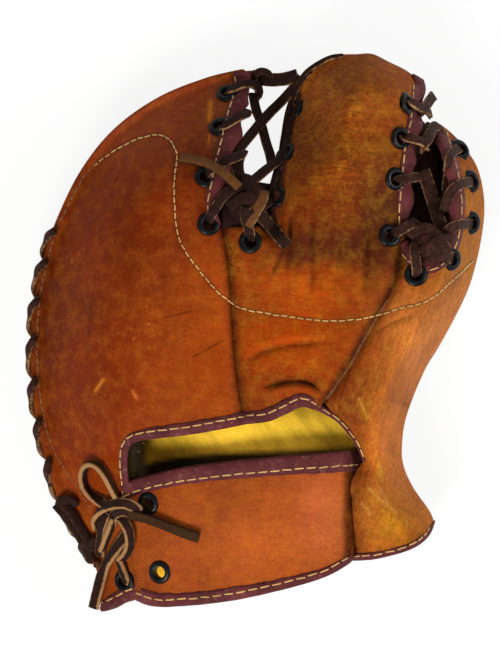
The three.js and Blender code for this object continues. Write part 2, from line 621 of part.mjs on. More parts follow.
// A stop at an eyelet: where the lace runs above it, in it, and below it.
function stop(seat, top, low, edge, sag = LACE_ARCH) {
  const { at, normal } = seat;
  const thick = (top(at.x, at.y) - low(at.x, at.y)) * normal.z;
  const along = (distance) => at.clone().addScaledVector(normal, distance);
  const places = curve(edge, 1);
  const near = places.reduce((best, p) => (p.distanceTo(at) < best.distanceTo(at) ? p : best));
  const over = seatOn(top, near.x, near.y);
  const under = seatOn(low, near.x, near.y);
  return {
    above: along(LACE_RIDE), mouth: along(1.2), middle: along(-thick / 2), below: along(-thick - LACE_RIDE),
    edgeAbove: over.at.addScaledVector(over.normal, LACE_RIDE + LACE_ARCH),
    edgeBelow: under.at.addScaledVector(under.normal, -LACE_RIDE - sag),
  };
}

// Spiral lacing: up through each first eyelet, over the gap, down through the second, and under the gap to
// the next.
function spiral(pairs) {
  const points = [];
  pairs.forEach(([first, second], i) => {
    points.push(first.below, first.middle, first.mouth, first.above, first.edgeAbove);
    points.push(second.edgeAbove, second.above, second.mouth);
    if (i + 1 === pairs.length) return;
    points.push(second.middle, second.below, second.edgeBelow, pairs[i + 1][0].edgeBelow);
  });
  return route(points);
}

const fingerStop = (name) => stop(seats[name], backTop, fingerFace, FINGER_GAP_EDGE);
const webStop = (name, edge) => stop(seats[name], backTop, webFace, edge);
const thumbStop = (name) => stop(seats[name], thumbTop, thumbFace, THUMB_GAP_EDGE, THUMB_LACE_SAG);
const leftStops = [
  [fingerStop("finger_eyelet_1"), webStop("web_left_eyelet_1", WEB_LEFT_EDGE)],
  [fingerStop("finger_eyelet_2"), webStop("web_left_eyelet_2", WEB_LEFT_EDGE)],
  [fingerStop("finger_eyelet_3"), webStop("web_left_eyelet_3", WEB_LEFT_EDGE)],
  [fingerStop("finger_eyelet_4"), stop(seats.back_eyelet_1, backTop, backUnder, BACK_TOP_EDGE)],
];
const rightStops = [
  [webStop("web_right_eyelet_1", WEB_RIGHT_EDGE), thumbStop("thumb_eyelet_1")],
  [webStop("web_right_eyelet_2", WEB_RIGHT_EDGE), thumbStop("thumb_eyelet_2")],
  [webStop("web_right_eyelet_3", WEB_RIGHT_EDGE), thumbStop("thumb_eyelet_3")],
  [thumbStop("thumb_eyelet_4"), stop(seats.back_eyelet_2, backTop, backUnder, BACK_RIGHT_EDGE)],
];
const alongY = () => new THREE.Vector3(0, 1, 0);
const leftRoute = spiral(leftStops);
const rightRoute = spiral(rightStops);
const leftLace = laceAlong(leftRoute, alongY);
const rightLace = laceAlong(rightRoute, alongY);
const leftSlot = laceAlong(leftRoute, alongY, LACE_CLEARANCE);
const rightSlot = laceAlong(rightRoute, alongY, LACE_CLEARANCE);

// Rim lace: a flattened helix round the flange of the finger edge.
const rimCurve = new THREE.SplineCurve(FINGER_RIM.map(([x, y]) => new THREE.Vector2(x, y)));
const flatten = (v) => Math.sign(v) * Math.abs(v) ** 0.6;
const rimTurns = [];
const rimAcross = [];
for (let i = 0; i <= RIM_LACE_LOOPS * RIM_LACE_STEPS; i++) {
  const share = i / (RIM_LACE_LOOPS * RIM_LACE_STEPS);
  const u = mix(RIM_LACE_SPAN[0], RIM_LACE_SPAN[1], share);
  const at = rimCurve.getPointAt(u);
  const ahead = rimCurve.getTangentAt(u);
  const turn = 2 * Math.PI * RIM_LACE_LOOPS * share;
  const middle = (RIM_LACE_INSET - RIM_LACE_OUTSET) / 2;
  const inward = middle + ((RIM_LACE_INSET + RIM_LACE_OUTSET) / 2) * flatten(Math.cos(turn));
  const flangeThick = BACK_HIDE + PALM_HIDE + 2 * LAYER_GAP + FOOT_SINK;
  const rise = (flangeThick / 2 + LACE_THICK / 2 + 0.7) * flatten(Math.sin(turn));
  const z = RIM_HEIGHT - flangeThick / 2 + rise;
  rimTurns.push(new THREE.Vector3(at.x + ahead.y * inward, at.y - ahead.x * inward, z));
  rimAcross.push(new THREE.Vector3(ahead.x, ahead.y, 0));
}
const alongRim = (i) => rimAcross[i];
const turnGaps = rimTurns.flatMap((p, i) => {
  const others = rimTurns.slice(i + RIM_LACE_STEPS / 2);
  return others.map((q) => p.distanceTo(q) - LACE_WIDTH);
});
console.log(`rim lace: least gap between its turns ${Math.min(...turnGaps).toFixed(1)} mm`);
const rimLace = laceAlong(rimTurns, alongRim);
const rimSlot = laceAlong(rimTurns, alongRim, LACE_CLEARANCE);

// Wrist lace: from the heel eyelet to the knot, the loop, and the two tails.
function overHeel(x, y, rise) {
  const face = x > STRAP_END_X ? strapTop : backTop;
  return seatOn(face, x, y).at.add(new THREE.Vector3(0, 0, rise));
}
const flatUp = (i, ahead) => new THREE.Vector3(0, 0, 1).cross(ahead);
const heelPoints = (points) => points.map(([x, y, rise]) => overHeel(x, y, rise));
const wristRoutes = [WRIST_LOOP, WRIST_TAIL].map((points) => route(heelPoints(points)));
const heelStop = stop(seats.heel_eyelet_1, backTop, backUnder, HEEL_EDGE);
const heelRise = [heelStop.middle, heelStop.mouth, heelStop.above];
const heelRoute = route([...heelRise, overHeel(...WRIST_RISE), overHeel(...WRIST_KNOT)]);
const heelLace = laceAlong(heelRoute, () => new THREE.Vector3(1, 0, 0));
const wristLace = wristRoutes.reduce((all, line) => all.add(laceAlong(line, flatUp)), heelLace);

// The mitt as named sub-parts, with the middle of its foot at the origin.
const mitt = new THREE.Group();
function add(name, solid, material) {
  const mesh = new THREE.Mesh(toGeometry(solid).translate(...FRAME_SHIFT, 0), material.clone());
  mesh.name = name;
  mitt.add(mesh);
}

const tableSquare = straight(
  [-TABLE_HALF, -TABLE_HALF], [TABLE_HALF, -TABLE_HALF], [TABLE_HALF, TABLE_HALF], [-TABLE_HALF, TABLE_HALF],
);
const overTable = prism(tableSquare).translate(0, 0, CUTTER_SINK);
const onTable = (solid) => solid.intersect(overTable);

const fingerHide = punched(hide(fingerOutline, backUnder, backTop), fingerSeats);
add("finger_back_panel", fingerHide.subtract(rimSlot), materials.smooth);
const handHide = punched(hide(backOutline, backUnder, backTop), [...backSeats, ...webSeats]);
add("hand_back_panel", handHide, materials.worn);
add("thumb_back_panel", punched(hide(thumbOutline, thumbUnder, thumbTop), thumbSeats), materials.smooth);
add("web_palm_panel", drilled(hide(webOutline, webFace, webInner), webSeats), materials.palm);
const fingerPalm = drilled(hide(fingerPalmOutline, fingerFace, fingerInner), fingerSeats);
const thumbPalm = drilled(hide(thumbPalmOutline, thumbFace, thumbInner), thumbSeats);
add("finger_palm_panel", onTable(fingerPalm).subtract(rimSlot).subtract(leftSlot), materials.palm);
add("thumb_palm_panel", onTable(thumbPalm).subtract(rightSlot), materials.palm);
const fingerPad = hide(fingerPadOutline, above(fingerInner, LAYER_GAP), fingerFelt);
const thumbPad = hide(thumbPadOutline, above(thumbInner, LAYER_GAP), thumbFelt);
add("finger_felt_pad", fingerPad, materials.felt);
add("thumb_felt_pad", thumbPad, materials.felt);
function liningOver(edge, felt) {
  return hide(outlineOf(curve(edge)), above(felt, LAYER_GAP), above(felt, LAYER_GAP + LINING));
}
add("hand_lining", liningOver(LINING_EDGE, fingerFelt), materials.lining);
add("thumb_lining", liningOver(THUMB_LINING_EDGE, thumbFelt), materials.lining);
add("wrist_strap", punched(hide(strapOutline, strapUnder, strapTop), strapSeats), materials.smooth);
const strapLining = hide(strapOutline, strapLow, above(strapUnder, -LAYER_GAP));
add("strap_lining", drilled(strapLining, strapSeats), materials.lining);

const openingBinding = binding(OPENING_EDGE, backUnder, backTop, -1, 0.6)
  .add(binding(BACK_OPENING_EDGE, backUnder, backTop, 1, 0.6));
add("opening_binding", openingBinding, materials.binding);
const fingerWebBinding = punched(binding(FINGER_GAP_EDGE, fingerFace, backTop, -1), fingerSeats);
add("finger_web_binding", fingerWebBinding.subtract(leftSlot), materials.binding);
const palmClear = hide(fingerPalmOutline, above(fingerFace, -LAYER_GAP), above(fingerInner, LAYER_GAP));
add("heel_binding", binding(HEEL_EDGE, backUnder, backTop, -1).subtract(palmClear), materials.binding);
add("web_left_binding", punched(binding(WEB_LEFT_EDGE, webFace, backTop, -1), webSeats), materials.binding);
add("web_right_binding", punched(binding(WEB_RIGHT_EDGE, webFace, backTop, -1), webSeats), materials.binding);
const thumbWebBinding = punched(binding(THUMB_GAP_EDGE, thumbFace, thumbTop, 1), thumbSeats);
add("thumb_web_binding", thumbWebBinding.subtract(rightSlot), materials.binding);
add("thumb_opening_binding", binding(THUMB_OPENING_EDGE, thumbUnder, thumbTop, 1), materials.binding);
const thumbClear = hide(thumbOutline, above(thumbUnder, -LAYER_GAP), above(thumbTop, LAYER_GAP));
const thumbHeelBinding = binding(THUMB_HEEL, thumbUnder, thumbTop, 1).subtract(thumbClear);
add("thumb_heel_binding", thumbHeelBinding, materials.binding);
add("strap_top_binding", punched(binding(STRAP_TOP, strapLow, strapTop, -1), strapSeats), materials.binding);
add("strap_bottom_binding", binding(STRAP_BOTTOM, strapLow, strapTop, -1), materials.binding);

add("left_web_lace", leftLace, materials.lace);
add("right_web_lace", rightLace, materials.lace);
add("rim_lace", rimLace, materials.lace);
add("wrist_lace", wristLace, materials.lace);
for (const name of Object.keys(seats)) add(name, eyelet(seats[name]), materials.eyelet);

export default mitt;
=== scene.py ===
"""First base mitt, lying palm down: hides, felt, lining, bindings, laces, eyelets and stitches."""
from functools import partial

import bpy
import numpy as np
from bpy.props import FloatProperty, FloatVectorProperty, PointerProperty
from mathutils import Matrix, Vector, noise
from mathutils.geometry import delaunay_2d_cdt


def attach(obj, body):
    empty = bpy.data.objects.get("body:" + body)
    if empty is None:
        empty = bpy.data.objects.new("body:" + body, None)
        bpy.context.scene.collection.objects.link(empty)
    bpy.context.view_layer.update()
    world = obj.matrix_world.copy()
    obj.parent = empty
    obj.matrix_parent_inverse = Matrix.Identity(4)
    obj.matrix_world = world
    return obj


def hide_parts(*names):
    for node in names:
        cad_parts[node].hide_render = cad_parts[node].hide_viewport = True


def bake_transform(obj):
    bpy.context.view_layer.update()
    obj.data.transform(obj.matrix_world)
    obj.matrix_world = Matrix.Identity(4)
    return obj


bl_info = {
    "name": "First base mitt",
    "version": (1, 0, 0),
    "blender": (4, 5, 0),
    "location": "View3D > Sidebar > Mitt",
    "description": "Builds a worn leather first base mitt piece by piece",
    "category": "Add Mesh",
}

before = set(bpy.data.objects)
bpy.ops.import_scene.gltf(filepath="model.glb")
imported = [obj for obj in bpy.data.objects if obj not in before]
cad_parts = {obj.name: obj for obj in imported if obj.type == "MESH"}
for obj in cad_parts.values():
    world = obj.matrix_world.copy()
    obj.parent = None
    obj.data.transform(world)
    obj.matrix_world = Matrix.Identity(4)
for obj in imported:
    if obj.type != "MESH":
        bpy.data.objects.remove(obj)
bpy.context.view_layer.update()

# Where the pattern lies in the frame, and the photograph's scale.
MM = 0.001
SHIFT = np.array([0.23, -0.27])
MM_PER_PIXEL = 0.52
PIXEL_ORIGIN = np.array([256.5, 332.0])
GRID_LOW = np.array([-132, -184])
GRID_COUNT = np.array([265, 337])

# Hide thicknesses, in mm.
BACK_HIDE = 3.0
PALM_HIDE = 3.2
LINING = 1.4
PALM_FELT = 8.0
WEB_EDGE = 9.0
EDGE_LEAN = 1.4
LAYER_GAP = 0.35
PALM_LEAST = 2.4
HEM = 2.15
HEM_BELOW_Y = -30

# The dome of the back and its rim, in mm.
RIM_HEIGHT = 30
WEB_RIM_LIFT = 18
WEB_RISE_Y = (70, 125)
WEB_CENTRE_X = 50
WEB_SPREAD = 36
SIDE_X = (10, 70)
FINGER_ROLL = 55
THUMB_ROLL = 18
COLUMN_DROP = 12
COLUMN_ROLL = 12
FINGER_FOOT = 18
THUMB_FOOT = 14
FINGER_FLANGE = 4.5
THUMB_FLANGE = 1
FOOT_SINK = 2.0
BREAK_X = 48
BREAK_GAP = 0.2
WEB_BASE_Y = 54
WINDOW_BLEND_X = (26, 40)
FELT_EASE = 9
FOLD_CLEAR = 1.4
DOME_CLEAR = 7.0

# The wrist strap, in mm.
STRAP_HEIGHT = 76
STRAP_CENTRE_X = 15
STRAP_BEND_RADIUS = 150
STRAP_TOP_Y = -76
STRAP_SLOPE = 0.13
STRAP_HIDE = 3.0
STRAP_TUCK = 16
STRAP_TUCK_X = (43, 56)
STRAP_TIED_X = (-56, -70)
# Where the strap takes a painted shadow as it goes under the thumb column.
STRAP_SHADE_X = (43, 47.5)
STRAP_COVERS = (-80, -60)
STRAP_REST = 1.8
STRAP_LINING = 1.2

# Pattern outlines, seen from the back, in mm.
FINGER_RIM = [
    (-81, -145), (-82.5, -126), (-90, -112), (-102.6, -88), (-110.2, -65), (-115.2, -42), (-117.2, -18),
    (-116.6, 8), (-112.6, 32), (-105, 56), (-91.8, 83.4), (-74.4, 105.4), (-51.2, 122), (-26.2, 132.2),
    (-7, 136.8),
]
FINGER_GAP_EDGE = [(-5.4, 135.6), (-5, 126), (-8.4, 113), (-12, 98), (-18, 77), (-21.5, 65), (-18.5, 55)]
FINGER_SEAM = [(-17, 54), (-13.6, 28), (-11.4, -5), (-9.4, -26), (-6, -46.4)]
OPENING_EDGE = [
    (-6, -46.4), (-18, -48.8), (-34, -51.6), (-57, -54.6), (-65.4, -58), (-67.4, -68), (-66, -84),
]
HEEL_EDGE = [(-60, -136.4), (-66, -138), (-73, -142), (-81, -145)]
BACK_OPENING_EDGE = [(-5.4, -46.2), (6, -44.8), (15.6, -40.6), (22.6, -37.4), (30.4, -38.4)]
THUMB_SEAM = [(32.2, -38.6), (44.6, -20.6), (58, 3), (71, 27), (76, 45)]
WEB_LEFT_EDGE = [(6.6, 54.5), (7.6, 62), (10.6, 75), (13.2, 91), (16.2, 106), (19.8, 121)]
WEB_TOP = [
    (19.8, 121), (25, 132.6), (31, 138.6), (42, 143.4), (52, 144), (60, 144.2), (69, 140), (79, 135),
    (85.8, 128),
]
WEB_RIGHT_EDGE = [(85.8, 128), (84, 110), (80.8, 94), (78.8, 74), (77.6, 54.5)]
THUMB_OPENING_EDGE = [(32.6, -38.4), (42.4, -46.8), (50.6, -57), (55, -67)]
COLUMN_EDGE = [(55, -67), (50, -74.6), (46.8, -84), (46.4, -98), (47.2, -110), (48.2, -118)]
THUMB_HEEL = [(48.2, -118), (63, -116.6), (79.5, -112), (88.6, -106), (92, -100.6)]
THUMB_RIM = [
    (92.5, -99), (90, -93), (81.4, -80.6), (76.4, -69), (75.8, -57.7), (78.3, -43), (87, -21), (95.4, -6.8),
    (105, 11), (111.5, 26), (116.5, 46), (118.6, 66), (115.5, 84), (109, 95), (102.5, 102.5), (95, 108.5),
]
THUMB_GAP_EDGE = [
    (93.5, 107.5), (96, 95), (99.6, 81), (101.4, 66), (100, 51), (95, 40.4), (88, 36.5), (81, 40.5),
    (76.6, 47),
]
STRAP_TOP = [(-70, -81), (-62, -77.2), (-38, -71.4), (-13.8, -68.2), (18, -65.2), (46, -63.2), (55, -62.6)]
STRAP_END = [(55, -62.6), (53.4, -84), (51.4, -102), (50, -116.4)]
STRAP_BOTTOM = [
    (50, -116.4), (47, -119.4), (32, -126.8), (2, -134.6), (-23, -139), (-46.5, -141), (-56, -140.2),
    (-62, -138),
]
PALM_HEEL_EDGE = [(47.8, -114), (30, -121.5), (0, -129.5), (-26, -134.5), (-50, -137), (-81, -145)]
THUMB_PALM_HEEL = [(48.2, -113), (62, -112), (79, -107), (91, -100)]
FINGER_PAD_EDGE = [
    (46, -110), (0, -122), (-48, -127), (-62, -121), (-78, -92), (-98, -45), (-99, -12), (-97, 30),
    (-90, 58), (-78, 85), (-58, 103), (-36, 113), (-34, 95), (-42, 76), (-46, 58), (-22, 34), (46, 38),
]
THUMB_PAD_EDGE = [
    (50, 36), (66, 34), (72, 18), (90, 20), (98, 26), (103, 22), (93, 0), (82, -22), (71, -45), (69, -66),
    (76, -84), (83, -97), (70, -105), (50, -108),
]
LINING_EDGE = [
    (-58, -130), (0, -127), (38, -114), (51, -84), (54, -52), (38, -20), (22, 10), (12, 30), (-20, 28),
    (-52, 50), (-58, 76), (-70, 72), (-82, 48), (-79, 5), (-77, -40), (-70, -78), (-60, -104),
]
THUMB_LINING_EDGE = [
    (51, -100), (56, -98), (54.5, -62), (67, -40), (82, -5), (80, 6), (66, -14), (54, -36), (50.5, -44),
]
HAND_LINE = [(0, -160), (-2, -60), (-24, 0), (-48, 50)]
THUMB_LINE = [(30, -160), (40, -60), (70, -30), (84, 5)]

# Heights of the back and of the pocket at chosen stations (x, y, z).
CROWN = [
    (-74, -112, 60), (-82, -50, 80), (-76, 10, 84), (-60, 70, 80), (-30, 110, 72), (-24, 65, 74),
    (-14, 0, 80), (-22, -45, 84), (20, -25, 87), (42, 10, 86), (20, 40, 82), (45, 85, 82), (45, 122, 78),
    (20, 100, 73), (82, 105, 62), (76, 62, 68), (64, -60, 84), (74, -20, 87), (88, 20, 78), (101, 50, 70),
    (104, 85, 64), (70, -105, 60),
]
POCKET = [
    (-60, -120, 24), (10, -130, 27), (48, -110, 30), (-40, -20, 42), (20, -20, 44), (48, 20, 45),
    (20, 60, 46), (90, 0, 42),
]

# Eyelet centres from the fingertips down.
FINGER_EYELETS = [(-15, 123.8), (-18.8, 106), (-26, 80), (-24.6, 55.6)]
WEB_LEFT_EYELETS = [(20.2, 116.2), (15.2, 92.4), (10.8, 69.6)]
WEB_RIGHT_EYELETS = [(77.4, 118), (74.2, 100), (71.4, 79)]
BACK_EYELETS = [(-3.2, 46.4), (68.6, 49.6)]
THUMB_EYELETS = [(105.2, 94.4), (110.8, 78), (111.2, 56.6), (100.2, 37.6), (82, 29.4)]
STRAP_EYELETS = [(-56.2, -88.8), (-50, -124.2)]
HEEL_EYELET = [(-68.4, -129)]


def run_of(line):
    """Distance along a line at each of its points."""
    return np.concatenate([[0], np.cumsum(np.linalg.norm(np.diff(line, axis=0), axis=1))])


def respaced(line, spacing):
    """The same line with evenly spaced points."""
    run = run_of(line)
    count = max(2, int(round(run[-1] / spacing)) + 1)
    at = np.linspace(0, run[-1], count)
    return np.column_stack([np.interp(at, run, line[:, k]) for k in range(line.shape[1])])


def spline(points, spacing=2.0):
    """Points about every spacing along a smooth curve through the given ones."""
    p = np.asarray(points, float)
    before = np.vstack([p[:1], p[:-2]])
    after = np.vstack([p[2:], p[-1:]])
    t = np.linspace(0, 1, 40, endpoint=False)[:, None]
    runs = []
    for a, b, first, last in zip(p[:-1], p[1:], before, after):
        m0, m1 = (b - first) / 2, (last - a) / 2
        runs.append(
            (2 * t ** 3 - 3 * t ** 2 + 1) * a + (t ** 3 - 2 * t ** 2 + t) * m0
            + (-2 * t ** 3 + 3 * t ** 2) * b + (t ** 3 - t ** 2) * m1
        )
    return respaced(np.vstack(runs + [p[-1:]]), spacing)


def unit(rows):
    """The same directions with a length of one."""
    return rows / np.linalg.norm(rows, axis=1)[:, None]


def heading(line):
    """Direction of a line's run at each of its points."""
    return unit(np.gradient(line, axis=0))


def left_of(line):
    """Direction to the left of a flat line's run at each of its points."""
    ahead = heading(line)
    return np.column_stack([-ahead[:, 1], ahead[:, 0]])


def nearest(xy, a, b):
    """Distance from places to one stretch of a line, and the share of the stretch there."""
    run = b - a
    t = np.clip(((xy - a) @ run) / max(run @ run, 1e-9), 0, 1)
    return np.linalg.norm(xy - a - t[:, None] * run, axis=1), t


def distance(xy, line):
    """Distance from places to a line."""
    least = np.full(len(xy), np.inf)
    for a, b in zip(line[:-1], line[1:]):
        least = np.minimum(least, nearest(xy, a, b)[0])
    return least


def across(xy, line):
    """Signed distance to a line, more than nothing on the left of its run, and the share of the run there."""
    least, side, share = np.full(len(xy), np.inf), np.ones(len(xy)), np.zeros(len(xy))
    for i, (a, b) in enumerate(zip(line[:-1], line[1:])):
        away, t = nearest(xy, a, b)
        near = away < least
        least = np.where(near, away, least)
        left = (b - a)[0] * (xy[:, 1] - a[1]) - (b - a)[1] * (xy[:, 0] - a[0])
        side = np.where(near, np.where(left < 0, -1, 1), side)
        share = np.where(near, (i + t) / (len(line) - 1), share)
    return side * least, share


def inside(xy, loop):
    """Which places are inside a closed line."""
    odd = np.zeros(len(xy), bool)
    for a, b in zip(loop, np.roll(loop, -1, axis=0)):
        if a[1] == b[1]:
            continue
        crossed = (a[1] > xy[:, 1]) != (b[1] > xy[:, 1])
        odd ^= crossed & (xy[:, 0] < a[0] + (xy[:, 1] - a[1]) / (b[1] - a[1]) * (b[0] - a[0]))
    return odd


def plate(stations):
    """Thin-plate surface through stations."""
    s = np.asarray(stations, float)
    n = len(s)

    def kernel(xy):
        r2 = ((xy[:, None, :] - s[None, :, :2]) ** 2).sum(2)
        return np.where(r2 > 0, r2 * np.log(np.maximum(r2, 1e-12)), 0)

    ones = np.column_stack([np.ones(n), s[:, :2]])
    system = np.block([[kernel(s[:, :2]), ones], [ones.T, np.zeros((3, 3))]])
    weight = np.linalg.solve(system, np.concatenate([s[:, 2], np.zeros(3)]))
    return lambda xy: kernel(xy) @ weight[:n] + np.column_stack([np.ones(len(xy)), xy]) @ weight[n:]


def smooth(v, low, high):
    """Smooth step from 0 at low to 1 at high."""
    t = np.clip((v - low) / (high - low), 0, 1)
    return t * t * (3 - 2 * t)


def bell(away, width):
    """1 at nothing away, falling off smoothly over a width."""
    return np.exp(-(away / width) ** 2)


def ends_fade(share, end):
    """1 along the middle of a run, fading out over a share of it at both ends."""
    return smooth(share, 0, end) * (1 - smooth(share, 1 - end, 1))


def slopes(face, xy, step):
    """How steeply a face rises to the east and to the north."""
    east, north = np.array([step, 0]), np.array([0, step])
    return [(face(xy + way) - face(xy - way)) / (2 * step) for way in (east, north)]


def normals_on(face, xy, step=0.8):
    """Outward directions of a face."""
    east, north = slopes(face, xy, step)
    return unit(np.column_stack([-east, -north, np.ones(len(xy))]))


def sampled(face):
    """The same face looked up on a 1 mm grid, which is much quicker than working it out again."""
    xs, ys = np.meshgrid(*(np.arange(n) + low for n, low in zip(GRID_COUNT, GRID_LOW)), indexing="ij")
    table = face(np.column_stack([xs.ravel(), ys.ravel()]).astype(float)).reshape(GRID_COUNT)

    def look(xy):
        place = np.clip(xy - GRID_LOW, 0, GRID_COUNT - 1.001)
        i, j = place.astype(int).T
        u, v = (place - place.astype(int)).T
        near = table[i, j] * (1 - v) + table[i, j + 1] * v
        far = table[i + 1, j] * (1 - v) + table[i + 1, j + 1] * v
        return near * (1 - u) + far * u

    return look


def from_photo(points):
    """Places in mm from places in the photograph's pixels; further columns are kept."""
    p = np.asarray(points, float)
    flip = np.array([1, -1])
    return np.column_stack([(p[:, :2] - PIXEL_ORIGIN) * flip * MM_PER_PIXEL, p[:, 2:]])


crown = plate(CROWN)
pocket = plate(POCKET)
RIM = np.vstack([spline(FINGER_RIM, 4), spline(WEB_TOP, 4), spline(THUMB_RIM[::-1], 4)])
RIM_LOOP = np.vstack([RIM, [(92, -175), (-80, -175)]])


def signed(xy, line):
    """Distance in from a rim, less than nothing outside the mitt."""
    away = distance(xy, line)
    return np.where(inside(xy, RIM_LOOP), away, -away)


# Folds of the back hide in the photograph's pixels: the line, width and depth in mm, and how dark its painted
# shade is. The hide laps over from its left.
FOLDS = [
    ([(285, 278), (288, 236), (290, 202)], 4.0, 1.5, 0.3),
    ([(310, 300), (311, 255), (310, 206)], 4.4, 1.7, 0.4),
    ([(363, 300), (365, 250), (366, 204)], 4.6, 2.0, 0.5),
    ([(337, 276), (339, 236)], 4.0, 0.7, 0.2),
    ([(270, 278), (278, 258), (288, 240)], 3.0, 1.5, 0.35),
    ([(324, 396), (315, 387), (305, 382.6), (292.6, 381.4), (280, 383), (258, 388)], 3.6, 3.0, 1.0),
    ([(240, 365), (256, 354), (269, 348.5), (285, 345), (304, 343), (332, 340)], 4.4, 1.8, 0.5),
    ([(351, 516), (350, 500), (356, 482)], 2.6, 1.2, 0.5),
    ([(412, 412), (404, 404), (384, 398)], 3.6, 0.9, 0.4),
    ([(404, 462), (394, 452), (376, 446)], 3.6, 0.7, 0.3),
    ([(420, 314), (392, 322), (368, 338)], 4.0, 0.7, 0.3),
    ([(424, 516), (408, 512), (390, 500)], 3.4, 0.7, 0.3),
]
FOLD_LINES = [spline(from_photo(points), 3) for points, _, _, _ in FOLDS]
# Scratches and scuffs in the photograph's pixels: the line, half its width in mm, tone and strength.
MARKS = [
    ([(195, 356), (208, 349), (222, 341)], 0.4, "#3A1408", 0.8),
    ([(164, 318), (178, 315), (190, 312)], 0.4, "#3A1408", 0.65),
    ([(89, 350), (92, 310), (96, 275)], 0.4, "#45190A", 0.5),
    ([(168, 345), (186, 336)], 0.35, "#4A1C0A", 0.5),
    ([(120, 262), (134, 256)], 0.35, "#45190A", 0.5),
    ([(97, 390), (104, 380)], 0.8, "#D9822C", 0.9),
    ([(134, 391), (137, 396)], 0.7, "#D0702A", 0.8),
    ([(210.6, 104), (210, 112), (209.4, 121)], 1.0, "#DD8418", 0.95),
    ([(209.6, 137), (209.4, 142)], 0.6, "#C86A18", 0.85),
    ([(368, 487), (377, 496), (386, 503), (395, 511)], 0.8, "#D89440", 0.85),
    ([(380, 489), (384, 496), (387, 503)], 0.7, "#D0904A", 0.7),
    ([(362, 503), (366, 508), (369, 513)], 0.7, "#D89440", 0.7),
    ([(378, 463), (379, 471), (380, 479)], 0.9, "#E0A028", 0.85),
    ([(358, 398), (362, 408), (366.6, 417)], 0.8, "#DC9A34", 0.8),
    ([(326, 398), (339.5, 379), (350, 363), (360.5, 344), (368, 331), (377, 315), (385, 303)],
     0.4, "#D09468", 0.6),
]
MARK_LINES = [spline(from_photo(points), 2) for points, _, _, _ in MARKS]
SEAMS = [spline(FINGER_SEAM, 3), spline(THUMB_SEAM, 3)]
WEB_ROLLS = [(spline(WEB_LEFT_EDGE, 3), 11, 9.0), (spline(WEB_RIGHT_EDGE, 3), 11, 4.0)]
SEAM_LAP = 0.5
SEAM_DEPTH = 4.2
SEAM_WIDTH = 3.2
STITCH_SINK = 0.5
STITCH_SINK_WIDTH = 1.6
EDGE_STITCH = from_photo([
    (90, 506), (80, 491), (72, 478.5), (60, 461), (53, 447), (47, 430), (42, 405), (39, 385), (37.4, 360),
    (37.6, 330), (39.4, 305), (43.4, 280), (52.4, 243), (61.4, 220), (73.6, 195), (86, 174), (96, 164.6),
])
LONG_STITCH = from_photo([
    (96, 164.6), (104, 158), (118, 149), (132, 142), (146, 137.4), (159, 135.8), (169, 140), (175, 149),
    (177.4, 159), (175, 178), (175, 199), (176, 221), (180, 240), (190, 258), (212, 286), (230, 302),
    (247, 310), (290, 317), (330, 321), (365, 318), (400, 308), (429, 299), (472, 262),
])


def unevenness(xy, size_mm, height):
    """Gentle swells of soft padding."""
    return height * np.array([noise.noise((x / size_mm, y / size_mm, 0.37)) for x, y in xy])


def relief(xy):
    """Seam valleys, folds and swells that lie on the dome of the back."""
    z = unevenness(xy, 26, 1.0) + unevenness(xy, 9, 0.25)
    for line in SEAMS:
        z -= SEAM_DEPTH * bell(distance(xy, line), SEAM_WIDTH)
    for line, (_, width, depth, _) in zip(FOLD_LINES, FOLDS):
        away, share = across(xy, line)
        away /= width
        lap = 0.5 * bell(away - 0.9, 0.8)
        shade = 0.5 * np.exp(np.minimum(away, 0) / 1.3) * (away < 0)
        z += depth * ends_fade(share, 0.3) * (lap - bell(away, 0.4) - shade)
    z -= STITCH_SINK * bell(distance(xy, spline(LONG_STITCH, 4)), STITCH_SINK_WIDTH)
    for edge, reach, drop in WEB_ROLLS:
        z -= drop * (1 - smooth(distance(xy, edge), 0, reach)) ** 2
    return z


@sampled
def dome(xy):
    """Back of the mitt without folds."""
    side = smooth(xy[:, 0], *SIDE_X)
    roll = FINGER_ROLL + (THUMB_ROLL - FINGER_ROLL) * side
    flange = FINGER_FLANGE + (THUMB_FLANGE - FINGER_FLANGE) * side
    t = (signed(xy, RIM) - flange) / roll
    lift = smooth(xy[:, 1], *WEB_RISE_Y) * bell(xy[:, 0] - WEB_CENTRE_X, WEB_SPREAD)
    rim = RIM_HEIGHT + WEB_RIM_LIFT * lift
    swell = np.where(t < 0, np.pi / 2 * np.maximum(t, -0.2) * side, np.sin(np.pi / 2 * np.clip(t, 0, 1)))
    return rim + (crown(xy) - rim) * swell


def back_face(xy):
    return dome(xy) + relief(xy)


COLUMN = spline(THUMB_OPENING_EDGE + COLUMN_EDGE[1:], 4)


@sampled
def column_drop(xy):
    t = np.clip(distance(xy, COLUMN) / COLUMN_ROLL, 0, 1)
    return COLUMN_DROP * (1 - np.sin(np.pi / 2 * t))


def thumb_face(xy):
    return back_face(xy) - column_drop(xy)


def thumb_dome(xy):
    return dome(xy) - column_drop(xy)


def lean(face, xy, most=2.0):
    """Upright share of a hide that is thick square to its face."""
    east, north = slopes(face, xy, 1.0)
    return np.minimum(np.sqrt(1 + east ** 2 + north ** 2), most)


@sampled
def back_under(xy):
    return dome(xy) - BACK_HIDE * lean(dome, xy)


@sampled
def thumb_under(xy):
    return thumb_dome(xy) - BACK_HIDE * lean(thumb_dome, xy)


def thumb_roof(xy):
    return np.minimum(thumb_under(xy), back_under(xy))


